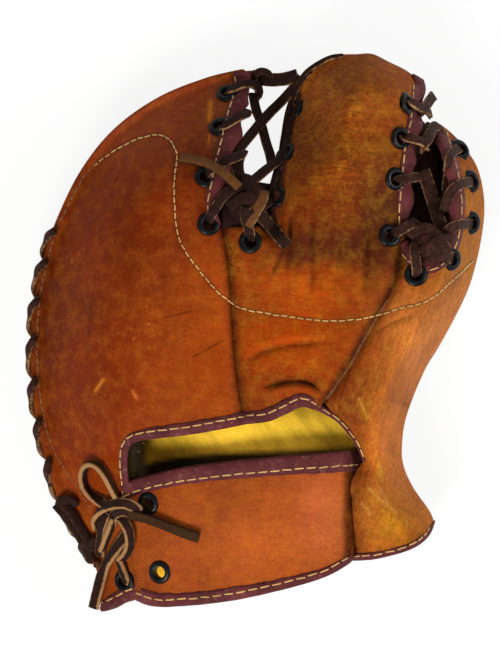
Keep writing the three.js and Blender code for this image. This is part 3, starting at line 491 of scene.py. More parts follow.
def palm_side(rim, foot, run, flange, gap, margin, taper, roof):
    """Outer face of a palm hide: rim, foot on the table, then the rise into the pocket."""
    rim_line, gap_line = spline(rim, 4), spline(gap, 4)

    def face(xy):
        d = signed(xy, rim_line)
        down = np.clip(1 - (d - flange) / (foot - flange), 0, 1)
        edge = (RIM_HEIGHT - BACK_HIDE - PALM_HIDE - 2 * LAYER_GAP) * down ** 2
        rise = pocket(xy) * smooth(d, foot, foot + run)
        thick = WEB_EDGE * lean(dome, xy, EDGE_LEAN) + taper * np.maximum(0, distance(xy, gap_line) - margin)
        low = np.maximum(edge + rise - FOOT_SINK, dome(xy) - thick)
        return np.maximum(np.minimum(low, roof(xy) - LAYER_GAP - PALM_LEAST), 0)

    return sampled(face)


finger_palm = palm_side(FINGER_RIM, FINGER_FOOT, 70, FINGER_FLANGE, FINGER_GAP_EDGE, 12, 3.0, back_under)
thumb_palm = palm_side(THUMB_RIM, THUMB_FOOT, 15, THUMB_FLANGE, THUMB_GAP_EDGE, 8, 6.0, thumb_roof)


@sampled
def web_palm(xy):
    return dome(xy) - WEB_EDGE * lean(dome, xy, EDGE_LEAN)


def inner_of(face, roof):
    """Inner face of a palm hide, kept under what lies over it."""
    return sampled(lambda xy: np.minimum(face(xy) + PALM_HIDE * lean(face, xy), roof(xy) - LAYER_GAP))


finger_inner = inner_of(finger_palm, back_under)
thumb_inner = inner_of(thumb_palm, thumb_roof)
web_inner = inner_of(web_palm, back_under)


def strap_face(xy):
    """The strap bends round the wrist, tucks under the thumb column and lies down on the heel."""
    bend = (xy[:, 0] - STRAP_CENTRE_X) ** 2 / (2 * STRAP_BEND_RADIUS)
    free = STRAP_HEIGHT - bend + STRAP_SLOPE * (xy[:, 1] - STRAP_TOP_Y)
    free -= STRAP_TUCK * smooth(xy[:, 0], *STRAP_TUCK_X)
    tied = smooth(xy[:, 0], *STRAP_TIED_X)
    return free * (1 - tied) + (dome(xy) + STRAP_REST) * tied


def strap_skin(xy):
    return strap_face(xy) + unevenness(xy, 22, 0.7)


@sampled
def strap_under(xy):
    return strap_face(xy) - STRAP_HIDE * lean(strap_face, xy)


def strap_low(xy):
    return strap_under(xy) - LAYER_GAP - STRAP_LINING


def finger_roof(xy):
    """What the felt of the fingers lies under: the back hide with its hem, or the strap over the heel."""
    hem = np.where(xy[:, 1] < HEM_BELOW_Y, HEM, 0)
    panel = back_under(xy) - hem
    under_strap = (xy[:, 0] > STRAP_COVERS[0]) & (xy[:, 1] < STRAP_COVERS[1])
    return np.where(under_strap, np.minimum(panel, strap_low(xy) - hem), panel)


def felt_top(inner, roof, member, half_width):
    """Top of a felt pad: low where the hand goes in along a line, and up to its roof beside it."""
    line = spline(member, 4)

    def top(xy):
        full = roof(xy) - LAYER_GAP
        low = np.minimum(inner(xy) + LAYER_GAP + PALM_FELT, full)
        share = smooth(distance(xy, line), half_width - FELT_EASE, half_width)
        return low + (full - low) * share

    return sampled(top)


finger_felt = felt_top(finger_inner, finger_roof, HAND_LINE, 62)
thumb_felt = felt_top(thumb_inner, thumb_roof, THUMB_LINE, 22)


def above(face, rise):
    return lambda xy: face(xy) + rise


def held_down(face):
    """The same face, pressed down wherever a seam or a fold of the back reaches it."""
    return lambda xy: np.minimum(face(xy), np.minimum(back_face(xy) - FOLD_CLEAR, dome(xy) - DOME_CLEAR))


# Materials.
NOISE = "ShaderNodeTexNoise"
RANGE = "ShaderNodeMapRange"
MIX = "ShaderNodeMix"
MATH = "ShaderNodeMath"
BUMP = "ShaderNodeBump"
MAPPING = "ShaderNodeMapping"
COORDINATES = "ShaderNodeTexCoord"
ATTRIBUTE = "ShaderNodeAttribute"
SURFACE = "ShaderNodeBsdfPrincipled"
OUTPUT = "ShaderNodeOutputMaterial"
BLEND = {"data_type": "RGBA"}
DARKEN = {"data_type": "RGBA", "blend_type": "MULTIPLY"}
TIMES = {"operation": "MULTIPLY"}
STRETCH = {"vector_type": "TEXTURE"}
MIXED = 2


def linear(hex_value):
    """Linear colour of an sRGB hex value such as #8A3C14."""
    parts = [int(hex_value[i:i + 2], 16) / 255 for i in (1, 3, 5)]
    return [p / 12.92 if p <= 0.04045 else ((p + 0.055) / 1.055) ** 2.4 for p in parts]


def rgba(colour, factor=1.0):
    """A colour with its alpha, made darker or lighter by a factor."""
    return (*(min(1, v * factor) for v in colour[:3]), 1.0)


def add_node(tree, kind, settings=None, out=0, **inputs):
    """Adds a node with its settings and gives one of its outputs.

    Its inputs are set, or linked where the value is a socket, by name or by in_ and a number."""
    made = tree.nodes.new(kind)
    for key, value in (settings or {}).items():
        setattr(made, key, value)
    for key, value in inputs.items():
        socket = made.inputs[int(key[3:]) if key.startswith("in_") else key.replace("_", " ")]
        if isinstance(value, bpy.types.NodeSocket):
            tree.links.new(value, socket)
        else:
            socket.default_value = value
    return made.outputs[out] if made.outputs else None


def new_material(name):
    """An empty material, and the function that adds nodes to it."""
    made = bpy.data.materials.new(name)
    made.use_nodes = True
    made.node_tree.nodes.clear()
    return made, partial(add_node, made.node_tree)


def oiled_hide(name, dark, pale, rough, grain=1.0, nap=0.0, lie=-0.12, patchy=0.0):
    """Vegetable-tanned cowhide, oiled and worn: mottled by hand oil, with fine grain, scuffs and scratches.

    The grain is about 1.1 mm, drawn coarser than the real 0.4 mm so that it shows. lie turns the fibres of
    the nap, and patchy is the share of the nap that only the scuffed places have."""
    made, add = new_material(name)
    place = add(COORDINATES, out="Object")
    tone = add(ATTRIBUTE, {"attribute_name": "hide_tone"})
    scuffed = tone.node.outputs["Alpha"]

    stain_share, fleck_share, speck_share, fibre_share = (
        add(
            MATH, {"operation": "MULTIPLY_ADD"}, in_0=scuffed, in_1=gain * nap * patchy,
            in_2=base + gain * nap * (1 - patchy))
        for base, gain in ((0.42, 0.2), (0.4, 0.6), (0.45, 0.5), (0.2, 0.7))
    )
    clouds = add(NOISE, Vector=place, Scale=1000 / 34, Detail=5, Roughness=0.6)
    shade = add(RANGE, Value=clouds, From_Min=0.32, From_Max=0.68)
    stained = add(MIX, BLEND, MIXED, in_0=stain_share, in_6=tone, in_7=rgba(dark))
    colour = add(MIX, BLEND, MIXED, in_0=shade, in_6=stained, in_7=tone)
    mottle = add(NOISE, Vector=place, Scale=1000 / 7, Detail=6, Roughness=0.65)
    fleck = add(RANGE, Value=mottle, From_Min=0.44, From_Max=0.72)
    fleck = add(MATH, TIMES, in_0=fleck, in_1=fleck_share)
    golden = add(MIX, BLEND, MIXED, in_0=0.6, in_6=colour, in_7=rgba(pale))
    colour = add(MIX, BLEND, MIXED, in_0=fleck, in_6=colour, in_7=golden)
    speck = add(NOISE, Vector=place, Scale=1000 / 1.6, Detail=3, Roughness=0.6)
    speck = add(RANGE, Value=speck, From_Min=0.3, From_Max=0.56, To_Min=0.5)
    colour = add(MIX, DARKEN, MIXED, in_0=speck_share, in_6=colour, in_7=speck)
    lying = add(MAPPING, STRETCH, Vector=place, Rotation=(0, 0, lie), Scale=(6, 1, 2))
    fibre = add(NOISE, Vector=lying, Scale=1000 / 1.5, Detail=4, Roughness=0.6)
    fibre = add(RANGE, Value=fibre, From_Min=0.32, From_Max=0.62, To_Min=0.5, To_Max=1.2)
    colour = add(MIX, DARKEN, MIXED, in_0=fibre_share, in_6=colour, in_7=fibre)
    slanting = add(MAPPING, STRETCH, Vector=place, Rotation=(0, 0, -1.06), Scale=(1, 11, 2.5))
    scratch = add(NOISE, Vector=slanting, Scale=1000 / 1.3, Detail=2, Roughness=0.5)
    scratch = add(RANGE, Value=scratch, From_Min=0.69, From_Max=0.74, To_Max=0.35)
    patch = add(NOISE, Vector=place, Scale=1000 / 46, Detail=2, Roughness=0.55)
    patch = add(RANGE, Value=patch, From_Min=0.5, From_Max=0.66)
    scratch = add(MATH, TIMES, in_0=scratch, in_1=patch)
    colour = add(MIX, BLEND, MIXED, in_0=scratch, in_6=colour, in_7=rgba(dark, 0.35))
    rub = add(NOISE, Vector=place, Scale=1000 / 3.4, Detail=6, Roughness=0.7)
    rub = add(RANGE, Value=rub, From_Min=0.58, From_Max=0.7, To_Max=0.85)
    rub = add(MATH, TIMES, in_0=rub, in_1=scuffed)
    colour = add(MIX, BLEND, MIXED, in_0=rub, in_6=colour, in_7=rgba(pale))
    cells = add("ShaderNodeTexVoronoi", {"feature": "DISTANCE_TO_EDGE"}, Vector=place, Scale=1000 / 1.1)
    pores = add(RANGE, Value=cells, From_Max=0.16)
    height = add(MIX, BLEND, MIXED, in_0=0.45, in_6=pores, in_7=mottle)
    bump = add(BUMP, Strength=0.26 * grain, Distance=0.0006, Height=height)
    creases = add(NOISE, Vector=place, Scale=1000 / 11, Detail=5, Roughness=0.6)
    bump = add(BUMP, Strength=0.42, Distance=0.0016, Height=creases, Normal=bump)
    gloss = add(RANGE, Value=mottle, From_Min=0.3, From_Max=0.75, To_Min=rough - 0.1, To_Max=rough + 0.14)
    surface = add(
        SURFACE, Base_Color=colour, Roughness=gloss, Normal=bump, IOR=1.4, Specular_IOR_Level=0.05,
        Sheen_Weight=0.03 * nap, Sheen_Roughness=0.4)
    add(OUTPUT, Surface=surface)
    return made


def plain_hide(name, base, dark, pale, rough, grain_mm, bump_strength, sheen=0.03, wrinkle=0.0):
    """A thinner hide of one dye, for bindings, lining and palm, with clouds, rubbed spots, its own grain and,
    on the lining, a painted shadow.

    wrinkle is how much of its slanting creases shows."""
    made, add = new_material(name)
    place = add(COORDINATES, out="Object")
    clouds = add(NOISE, Vector=place, Scale=1000 / 16, Detail=5, Roughness=0.6)
    clouds = add(RANGE, Value=clouds, From_Min=0.34, From_Max=0.68)
    colour = add(MIX, BLEND, MIXED, in_0=clouds, in_6=rgba(dark), in_7=rgba(base))
    rub = add(NOISE, Vector=place, Scale=1000 / 3.2, Detail=6, Roughness=0.7)
    rub = add(RANGE, Value=rub, From_Min=0.56, From_Max=0.74, To_Max=0.7)
    colour = add(MIX, BLEND, MIXED, in_0=rub, in_6=colour, in_7=rgba(pale))
    fine = add(NOISE, Vector=place, Scale=1000 / grain_mm, Detail=4, Roughness=0.6)
    grain = add(RANGE, Value=fine, From_Min=0.3, From_Max=0.6, To_Min=0.6)
    colour = add(MIX, DARKEN, MIXED, in_0=0.4, in_6=colour, in_7=grain)
    slanting = add(MAPPING, STRETCH, Vector=place, Rotation=(0, 0, 0.69), Scale=(1, 8, 3))
    creases = add(NOISE, Vector=slanting, Scale=1000 / 4.5, Detail=3, Roughness=0.6)
    creases = add(RANGE, Value=creases, From_Min=0.36, From_Max=0.5, To_Min=0.5)
    colour = add(MIX, DARKEN, MIXED, in_0=wrinkle, in_6=colour, in_7=creases)
    # Painted shadow: where the lining lies in shade, its colour goes nearly black.
    soil = add(ATTRIBUTE, {"attribute_name": "soil"}, "Fac")
    colour = add(MIX, BLEND, MIXED, in_0=soil, in_6=colour, in_7=rgba(dark, 0.02))
    bump = add(BUMP, Strength=bump_strength, Distance=0.0008, Height=fine)
    surface = add(
        SURFACE, Base_Color=colour, Roughness=rough, Normal=bump, IOR=1.46, Specular_IOR_Level=0.08,
        Sheen_Weight=sheen, Sheen_Roughness=0.5)
    add(OUTPUT, Surface=surface)
    return made


def rawhide_lace(name, grain, flesh, edge, bare=0.36, rubbed=2.3):
    """Cut lace: dark oiled grain face, tan suede flesh side and pale cut edges, by the lace_side attribute.

    bare is the wear at which the cut edge shows, and rubbed is how many times lighter worn grain is."""
    made, add = new_material(name)
    place = add(COORDINATES, out="Object")
    side = add(ATTRIBUTE, {"attribute_name": "lace_side"})
    on_edge = add("ShaderNodeSeparateColor", Color=side)
    on_flesh = on_edge.node.outputs["Green"]
    rub = add(NOISE, Vector=place, Scale=1000 / 2.6, Detail=5, Roughness=0.65)
    worn = add(RANGE, Value=rub, From_Min=0.42, From_Max=0.8, To_Max=0.75)
    face = add(MIX, BLEND, MIXED, in_0=worn, in_6=rgba(grain), in_7=rgba(grain, rubbed))
    raised = add(RANGE, Value=rub, From_Min=0.3, From_Max=0.7)
    nap = add(MIX, BLEND, MIXED, in_0=raised, in_6=rgba(flesh, 0.55), in_7=rgba(flesh))
    colour = add(MIX, BLEND, MIXED, in_0=on_flesh, in_6=face, in_7=nap)
    cut = add(MATH, TIMES, in_0=on_edge, in_1=rub)
    cut = add(RANGE, Value=cut, From_Min=bare, From_Max=bare + 0.2, To_Max=0.92)
    colour = add(MIX, BLEND, MIXED, in_0=cut, in_6=colour, in_7=rgba(edge))
    fine = add(NOISE, Vector=place, Scale=1000 / 1.4, Detail=4, Roughness=0.55)
    bump = add(BUMP, Strength=0.35, Distance=0.0006, Height=fine)
    surface = add(
        SURFACE, Base_Color=colour, Roughness=0.6, Normal=bump, IOR=1.46, Specular_IOR_Level=0.06,
        Sheen_Weight=0.02)
    add(OUTPUT, Surface=surface)
    return made


def pressed_felt(name, base, dark):
    """Pressed wool felt: matt, fuzzy, with short crossing fibres."""
    made, add = new_material(name)
    place = add(COORDINATES, out="Object")
    lying = add(MAPPING, Vector=place, Scale=(1, 0.25, 1))
    fibre = add(NOISE, Vector=lying, Scale=1000 / 1.0, Detail=5, Roughness=0.7)
    colour = add(MIX, BLEND, MIXED, in_0=fibre, in_6=rgba(dark), in_7=rgba(base))
    bump = add(BUMP, Strength=0.6, Distance=0.001, Height=fibre)
    surface = add(
        SURFACE, Base_Color=colour, Roughness=0.95, Normal=bump, Sheen_Weight=0.5, Sheen_Roughness=0.6)
    add(OUTPUT, Surface=surface)
    return made


def black_enamel(name, base, chip):
    """Stove enamel on a rolled brass eyelet: glossy, with dull rubbed spots on the lip."""
    made, add = new_material(name)
    place = add(COORDINATES, out="Object")
    rub = add(NOISE, Vector=place, Scale=1000 / 1.8, Detail=5, Roughness=0.7)
    rub = add(RANGE, Value=rub, From_Min=0.6, From_Max=0.8, To_Max=0.5)
    colour = add(MIX, BLEND, MIXED, in_0=rub, in_6=rgba(base), in_7=rgba(chip))
    gloss = add(NOISE, Vector=place, Scale=1000 / 3.0, Detail=3, Roughness=0.55)
    gloss = add(RANGE, Value=gloss, From_Min=0.3, From_Max=0.7, To_Min=0.22, To_Max=0.42)
    fine = add(NOISE, Vector=place, Scale=1000 / 1.2, Detail=3, Roughness=0.55)
    bump = add(BUMP, Strength=0.08, Distance=0.0004, Height=fine)
    surface = add(
        SURFACE, Base_Color=colour, Roughness=gloss, Normal=bump, IOR=1.5, Specular_IOR_Level=0.14)
    add(OUTPUT, Surface=surface)
    return made


def waxed_thread(name, base, dark):
    """Waxed linen thread, soiled in places.

    Its plies are about 1 mm apart, drawn coarser than the real ones so that they show."""
    made, add = new_material(name)
    place = add(COORDINATES, out="Object")
    turned = add(MAPPING, Vector=place, Rotation=(0, 0, 0.8))
    plies = add(
        "ShaderNodeTexWave", {"wave_type": "BANDS"}, "Fac", Vector=turned, Scale=1000 / 3.0, Distortion=1.5)
    clean = add(NOISE, Vector=place, Scale=1000 / 14, Detail=3, Roughness=0.55)
    clean = add(RANGE, Value=clean, From_Min=0.35, From_Max=0.75)
    colour = add(MIX, BLEND, MIXED, in_0=clean, in_6=rgba(dark), in_7=rgba(base))
    grooves = add(RANGE, Value=plies, From_Min=0.1, From_Max=0.6, To_Min=0.6)
    colour = add(MIX, DARKEN, MIXED, in_0=0.35, in_6=colour, in_7=grooves)
    bump = add(BUMP, Strength=0.4, Distance=0.0003, Height=plies)
    surface = add(SURFACE, Base_Color=colour, Roughness=0.6, Normal=bump, Sheen_Weight=0.15)
    add(OUTPUT, Surface=surface)
    return made


def white_paper():
    """Matt white paper that keeps a soft shadow and is close to white in the view and in reflections."""
    made, add = new_material("white_paper")
    matt = add("ShaderNodeBsdfDiffuse", Color=rgba(linear("#F6F6F4")))
    glow = add("ShaderNodeEmission", Color=(1, 1, 1, 1), Strength=1.0)
    seen = camera_ray = add("ShaderNodeLightPath", out="Is Camera Ray")
    for label in ("Is Glossy Ray", "Is Transmission Ray"):
        seen = add(MATH, {"operation": "MAXIMUM"}, in_0=seen, in_1=camera_ray.node.outputs[label])
    share = add(MATH, TIMES, in_0=seen, in_1=0.88)
    add(OUTPUT, Surface=add("ShaderNodeMixShader", in_0=share, in_1=matt, in_2=glow))
    return made


# Meshes.
def placed(points):
    """Places in the shared frame, in metres, from places in mm of the pattern."""
    return (np.asarray(points, float) + [SHIFT[0], SHIFT[1], 0]) * MM


def new_object(name, data):
    made = bpy.data.objects.new(name, data)
    bpy.context.scene.collection.objects.link(made)
    return made


def mesh_object(name, vertices, links=(), faces=()):
    """An object at the origin, from places in metres."""
    mesh = bpy.data.meshes.new(name)
    mesh.from_pydata(np.asarray(vertices).tolist(), links, faces)
    return new_object(name, mesh)


def finish_mesh(mesh, material):
    """Gives a whole mesh one smooth finish."""
    mesh.materials.clear()
    mesh.materials.append(material)
    mesh.polygons.foreach_set("material_index", [0] * len(mesh.polygons))
    mesh.polygons.foreach_set("use_smooth", [True] * len(mesh.polygons))
    mesh.update()


def piece_from(name, vertices, faces, material):
    """A piece in the shared frame from places in mm of the pattern."""
    made = mesh_object(name, placed(vertices), [], [list(map(int, f)) for f in faces])
    finish_mesh(made.data, material)
    return made


def plan_of(mesh):
    """Plan places of a mesh's points, in mm of the pattern."""
    co = np.zeros(len(mesh.vertices) * 3)
    mesh.vertices.foreach_get("co", co)
    return co.reshape(-1, 3)[:, :2] / MM - SHIFT


def set_layer(mesh, name, kind, field, values):
    """Gives each point of a mesh its own value."""
    layer = mesh.attributes.new(name, kind, "POINT")
    layer.data.foreach_set(field, np.asarray(values).ravel().astype(np.float32))


def closed_loop(*edges, spacing=1.6):
    """One closed outline from edges laid end to end, evenly spaced, turning left."""
    line = np.vstack([*edges, edges[0][:1]])
    line = respaced(line, spacing)[:-1]
    area = (line[:, 0] * np.roll(line[:, 1], -1) - np.roll(line[:, 0], -1) * line[:, 1]).sum()
    return line if area > 0 else line[::-1]


def rows_along(line, offsets, pitch):
    """Rows of points beside a line."""
    fine = respaced(line, pitch)
    left = left_of(fine)
    return np.vstack([fine + left * offset for offset in offsets])


def triangles_in(loop, spacing, holes=(), lines=()):
    """Triangles that fill an outline, with round holes left out and more points along fine lines.

    Holes are (x, y, radius), and lines are (line, offsets, pitch)."""
    low, high = loop.min(0), loop.max(0)
    xs = np.arange(low[0], high[0], spacing)
    ys = np.arange(low[1], high[1], spacing * 0.866)
    grid = np.array([(x + (spacing / 2 if j % 2 else 0), y) for j, y in enumerate(ys) for x in xs])
    ring = np.vstack([loop, loop[:1]])
    keep = inside(grid, loop) & (distance(grid, ring) > 0.55 * spacing)
    for line, offsets, _ in lines:
        keep &= distance(grid, line) > max(offsets) + 0.4 * spacing
    for line, offsets, pitch in lines:
        rows = rows_along(line, offsets, pitch)
        clear = inside(rows, loop) & (distance(rows, ring) > 0.3 * spacing)
        grid = np.vstack([grid, rows])
        keep = np.concatenate([keep, clear])
    for x, y, radius in holes:
        keep &= np.hypot(grid[:, 0] - x, grid[:, 1] - y) > radius + 0.5 * spacing
    loops = [loop]
    turn = np.linspace(0, 2 * np.pi, 16, endpoint=False)
    for x, y, radius in holes:
        loops.append(np.column_stack([x + radius * np.cos(turn), y + radius * np.sin(turn)]))
    points = np.vstack([*loops, grid[keep]])
    edges = []
    first = 0
    for one in loops:
        count = len(one)
        edges += [(first + i, first + (i + 1) % count) for i in range(count)]
        first += count
    out = delaunay_2d_cdt([Vector(p) for p in points], edges, [], 0, 1e-5, False)
    xy = np.array([tuple(v) for v in out[0]])
    faces = np.array(out[2])
    middle = xy[faces].mean(1)
    kept = inside(middle, loop)
    for x, y, radius in holes:
        kept &= np.hypot(middle[:, 0] - x, middle[:, 1] - y) > radius * 0.98
    faces = faces[kept]
    a, b, c = (xy[faces[:, k]] for k in range(3))
    turned = (b[:, 0] - a[:, 0]) * (c[:, 1] - a[:, 1]) - (c[:, 0] - a[:, 0]) * (b[:, 1] - a[:, 1]) < 0
    faces[turned] = faces[turned][:, ::-1]
    used = np.unique(faces)
    number = np.full(len(xy), -1)
    number[used] = np.arange(len(used))
    return xy[used], number[faces]


LEAST_THICK = 0.4


def hide(name, loop, low, high, material, spacing=2.2, holes=(), ease=0.7, lines=()):
    """A hide between two faces, cut to its outline, with eased edges."""
    xy, faces = triangles_in(loop, spacing, holes, lines)
    count = len(xy)
    top = high(xy)
    under = np.minimum(low(xy), top - LEAST_THICK)
    sides = {pair for a, b, c in faces.tolist() for pair in ((a, b), (b, c), (c, a))}
    rim = [(a, b) for a, b in sorted(sides) if (b, a) not in sides]
    edge = np.unique(rim)
    drop = np.minimum(ease, (top[edge] - under[edge]) * 0.35)
    top[edge] -= drop
    under[edge] += drop
    vertices = np.vstack([np.column_stack([xy, top]), np.column_stack([xy, under])])
    walls = [(a, a + count, b + count, b) for a, b in rim]
    turned = faces[:, ::-1] + count
    return piece_from(name, vertices, [*faces.tolist(), *turned.tolist(), *walls], material)


# Rows of finer points beside a fold and beside a scratch, in mm.
FOLD_ROWS = (-3.2, -2.1, -1.2, -0.6, -0.2, 0.2, 0.6, 1.2, 2.1, 3.2)
MARK_ROWS = (-0.9, -0.45, 0.0, 0.45, 0.9)


def fine_lines():
    """Where the back hides need more points: along the folds, the scratches and the long row of thread."""
    folds = [(line, FOLD_ROWS, 1.0) for line in FOLD_LINES]
    marks = [(line, MARK_ROWS, 0.8) for line in MARK_LINES]
    return [*folds, *marks, (spline(LONG_STITCH, 3), MARK_ROWS, 1.2)]


# Zones of tone on the hides, in the photograph's pixels: middle, reach, strength, tone. Two of them are
# painted highlights, on the thumb and on the strap.
ZONES = [
    ((150, 118), (75, 30), 0.9, "#A84A28"),
    ((204, 152), (26, 52), 0.95, "#6C2204"),
    ((216, 130), (10, 34), 0.8, "#8C4A32"),
    ((120, 235), (70, 62), 0.8, "#7C2402"),
    ((48, 320), (22, 110), 0.8, "#622002"),
    ((105, 365), (55, 45), 0.7, "#7C2402"),
    ((205, 350), (38, 56), 0.95, "#AC460C"),
    ((90, 450), (50, 55), 0.6, "#862A02"),
    ((230, 285), (30, 40), 0.7, "#A4430A"),
    ((342, 88), (48, 28), 0.95, "#A6561C"),
    ((340, 150), (50, 46), 0.95, "#94470C"),
    ((325, 205), (46, 22), 0.9, "#742A02"),
    ((384, 212), (19, 40), 1.5, "#321C14"),
    ((316, 284), (54, 18), 0.9, "#CE5406"),
    ((336, 248), (34, 15), 1.1, "#4E1C0E"),
    ((297, 254), (14, 14), 1.0, "#4A2012"),
    ((372, 262), (18, 34), 0.8, "#5E2410"),
    ((286, 345), (44, 34), 0.95, "#BE4600"),
    ((350, 336), (30, 26), 0.8, "#903806"),
    ((468, 250), (26, 56), 0.9, "#BE742C"),
    # Painted highlight on the thumb's slope that faces the side lamp.
    ((424, 338), (36, 40), 0.95, "#E8883C"),
    ((392, 444), (26, 50), 0.9, "#DE7C2E"),
    ((358, 452), (9, 44), 0.9, "#8E3E12"),
    ((354, 535), (11, 30), 0.8, "#9C4A10"),
    ((410, 470), (9, 36), 0.5, "#A85A34"),
    ((391, 521), (11, 10), 0.8, "#C88C10"),
    ((388, 516), (36, 26), 0.95, "#CC7A1C"),
    ((190, 552), (44, 44), 0.9, "#98421A"),
    ((240, 540), (90, 40), 0.95, "#C25C20"),
    # Painted highlight on the right of the strap.
    ((330, 520), (30, 36), 0.7, "#CC673C"),
]
SCUFFS = [
    ((210, 112), 10), ((210, 142), 9), ((100, 386), 12), ((377, 495), 14), ((388, 518), 20),
    ((335, 105), 50), ((340, 165), 46), ((300, 130), 22), ((150, 330), 30), ((70, 260), 18),
    ((228, 262), 14),
]
# Colour of the painted shade in the seams and folds, along the long row of thread and under the next hide.
PAINTED_SHADE = "#2A0F06"
BASE_SHARE = 0.25


def patch_share(xy, middle, reach):
    """How much of a soft patch, given in the photograph's pixels, is at each place."""
    away = (xy - from_photo([middle])[0]) / (np.array(reach) * MM_PER_PIXEL)
    return np.exp(-(away ** 2).sum(1))


def painted_shade_at(xy, shaded):
    """How much painted shade the seam valleys and the folds lay on each place, and how dark the long row of
    thread makes it.

    shaded is where, from left to right, a hide takes a painted shadow as it goes under the next."""
    dark = 0.6 * bell(distance(xy, spline(LONG_STITCH, 3)), 0.8)
    for line in SEAMS:
        dark = np.maximum(dark, 0.8 * bell(distance(xy, line), 2.2))
    for line, (_, _, _, strength) in zip(FOLD_LINES, FOLDS):
        away, share = across(xy, line)
        # Painted shade in each fold's valley and on the side away from its lap.
        core = 0.9 * bell(away, 1.0)
        shade = 0.7 * np.exp(np.minimum(away, 0) / 4.5) * (away < 0) * bell(away, 14)
        dark = np.maximum(dark, strength * ends_fade(share, 0.25) * np.maximum(core, shade))
    # Painted shadow where a hide goes under the next.
    if shaded:
        dark = np.maximum(dark, 0.85 * smooth(xy[:, 0], *shaded))
    return dark


def paint_hide(made, base, shaded=None):
    """Lays the tones on a hide: zones with two painted highlights, painted shade in creases and under the
    next hide, and scratches as its colour, and scuffing in alpha.
    """
    xy = plan_of(made.data)
    total = np.full(len(xy), BASE_SHARE)
    colour = total[:, None] * np.array(base[:3])
    for middle, reach, strength, tone in ZONES:
        share = strength * patch_share(xy, middle, reach)
        colour += share[:, None] * np.array(linear(tone))
        total += share
    colour /= total[:, None]
    colour += painted_shade_at(xy, shaded)[:, None] * (np.array(linear(PAINTED_SHADE)) - colour)
    for line, (_, half, tone, strength) in zip(MARK_LINES, MARKS):
        share = strength * bell(distance(xy, line), half)
        colour += share[:, None] * (np.array(linear(tone)) - colour)
    scuffed = np.max([patch_share(xy, middle, reach) for middle, reach in SCUFFS], axis=0)
    set_layer(made.data, "hide_tone", "FLOAT_COLOR", "color", np.column_stack([colour, scuffed]))


def paint_lining_shadow(made):
    """Painted shadow on the lining: the strap's shadow along its top edge, shade at the window's two ends,
    and a dark spot under the first strap eyelet.
    """
    xy = plan_of(made.data)
    # Painted shadow of the strap in a band along its top edge, wider on the left, and painted shade at the
    # window's ends.
    band = np.interp(xy[:, 0], [-50, -20, 22, 44], [7.8, 6.4, 3.8, 3.6])
    away = distance(xy, spline(STRAP_TOP, 3))
    low = 1 - smooth(away, band - 2.0, band + 1.6)
    left = 1 - smooth(xy[:, 0], -59, -53)
    right = 0.15 * smooth(xy[:, 0], 35, 40)
    dim = 0.25 * (1 - smooth(xy[:, 0], -46, -20)) * (1 - smooth(away, 8, 14))
    at_eyelet = np.exp(-(np.hypot(*(xy - STRAP_EYELETS[0]).T) / 6) ** 4)
    soil = np.clip(np.max([low, left, right, dim, at_eyelet], axis=0), 0, 1)
    set_layer(made.data, "soil", "FLOAT", "value", soil)


# The folded binding's section: share of its width, rise as a share of its thickness, and upper or lower side.
BINDING_SECTION = [
    (1.0, 0.05, 1), (0.93, 0.85, 1), (0.7, 1.1, 1), (0.3, 1.15, 1), (-0.05, 0.95, 1), (-0.2, 0.3, 1),
    (-0.23, 0.0, 0), (-0.2, 0.3, -1), (-0.05, 0.95, -1), (0.3, 1.15, -1), (0.7, 1.1, -1), (0.93, 0.85, -1),
    (1.0, 0.05, -1),
]
BINDING_THICK = 1.3
BINDING_STEP = 1.2
BINDING_FLUTTER = 0.35


def binding(name, edge, low, high, side, material, width, tied=()):
    """Folded binding round an edge, as wide at shares of its run as (share, width) says.

    side is +1 where the hide is on the left of the edge's run. Between the places where laces tie it
    down, the binding puffs out."""
    line = spline(edge, BINDING_STEP)
    inward = left_of(line) * side
    wave = np.array([noise.noise((i * BINDING_STEP / 5.0, 3.1, 0.5)) for i in range(len(line))])
    reach = np.interp(np.linspace(0, 1, len(line)), *np.transpose(width)) + 0.5 * wave
    puff = np.ones(len(line))
    if tied:
        away = np.min([np.hypot(*(line - np.array(place, float)).T) for place in tied], axis=0)
        puff = 2.4 - 1.7 * bell(away - 2, 5.5)
    rings = []
    for share, rise, face_side in BINDING_SECTION:
        depth = reach * share * (puff if share < 0 else 1)
        held = line + inward * np.maximum(depth, 0.4)[:, None]
        top = high(held)
        bottom = np.minimum(low(held), top - 1.0)
        flutter = BINDING_FLUTTER * wave * (share > 0.2) * (share < 0.95)
        lift = BINDING_THICK * rise * (puff if share < 0.6 else 1) + flutter
        z = {1: top + lift, 0: (top + bottom) / 2, -1: bottom - lift}[face_side]
        rings.append(np.column_stack([line + inward * depth[:, None], z]))
    return swept(name, np.array(rings).transpose(1, 0, 2), material)


def swept(name, rings, material, sides=None):
    """A closed tube through rings of points, capped at both ends, facing outwards."""
    steps, count = rings.shape[:2]
    faces = []
    for i in range(steps - 1):
        for k in range(count):
            a, b = i * count + k, i * count + (k + 1) % count
            faces.append((a, b, b + count, a + count))
    faces.append(tuple(range(count))[::-1])
    faces.append(tuple((steps - 1) * count + k for k in range(count)))
    vertices = rings.reshape(-1, 3)
    volume = 0.0
    for f in faces:
        for k in range(1, len(f) - 1):
            volume += np.dot(vertices[f[0]], np.cross(vertices[f[k]], vertices[f[k + 1]]))
    if volume < 0:
        faces = [f[::-1] for f in faces]
    made = piece_from(name, vertices, faces, material)
    if sides is not None:
        set_layer(made.data, "lace_side", "FLOAT_COLOR", "color", np.tile(sides, (steps, 1)))
    return made


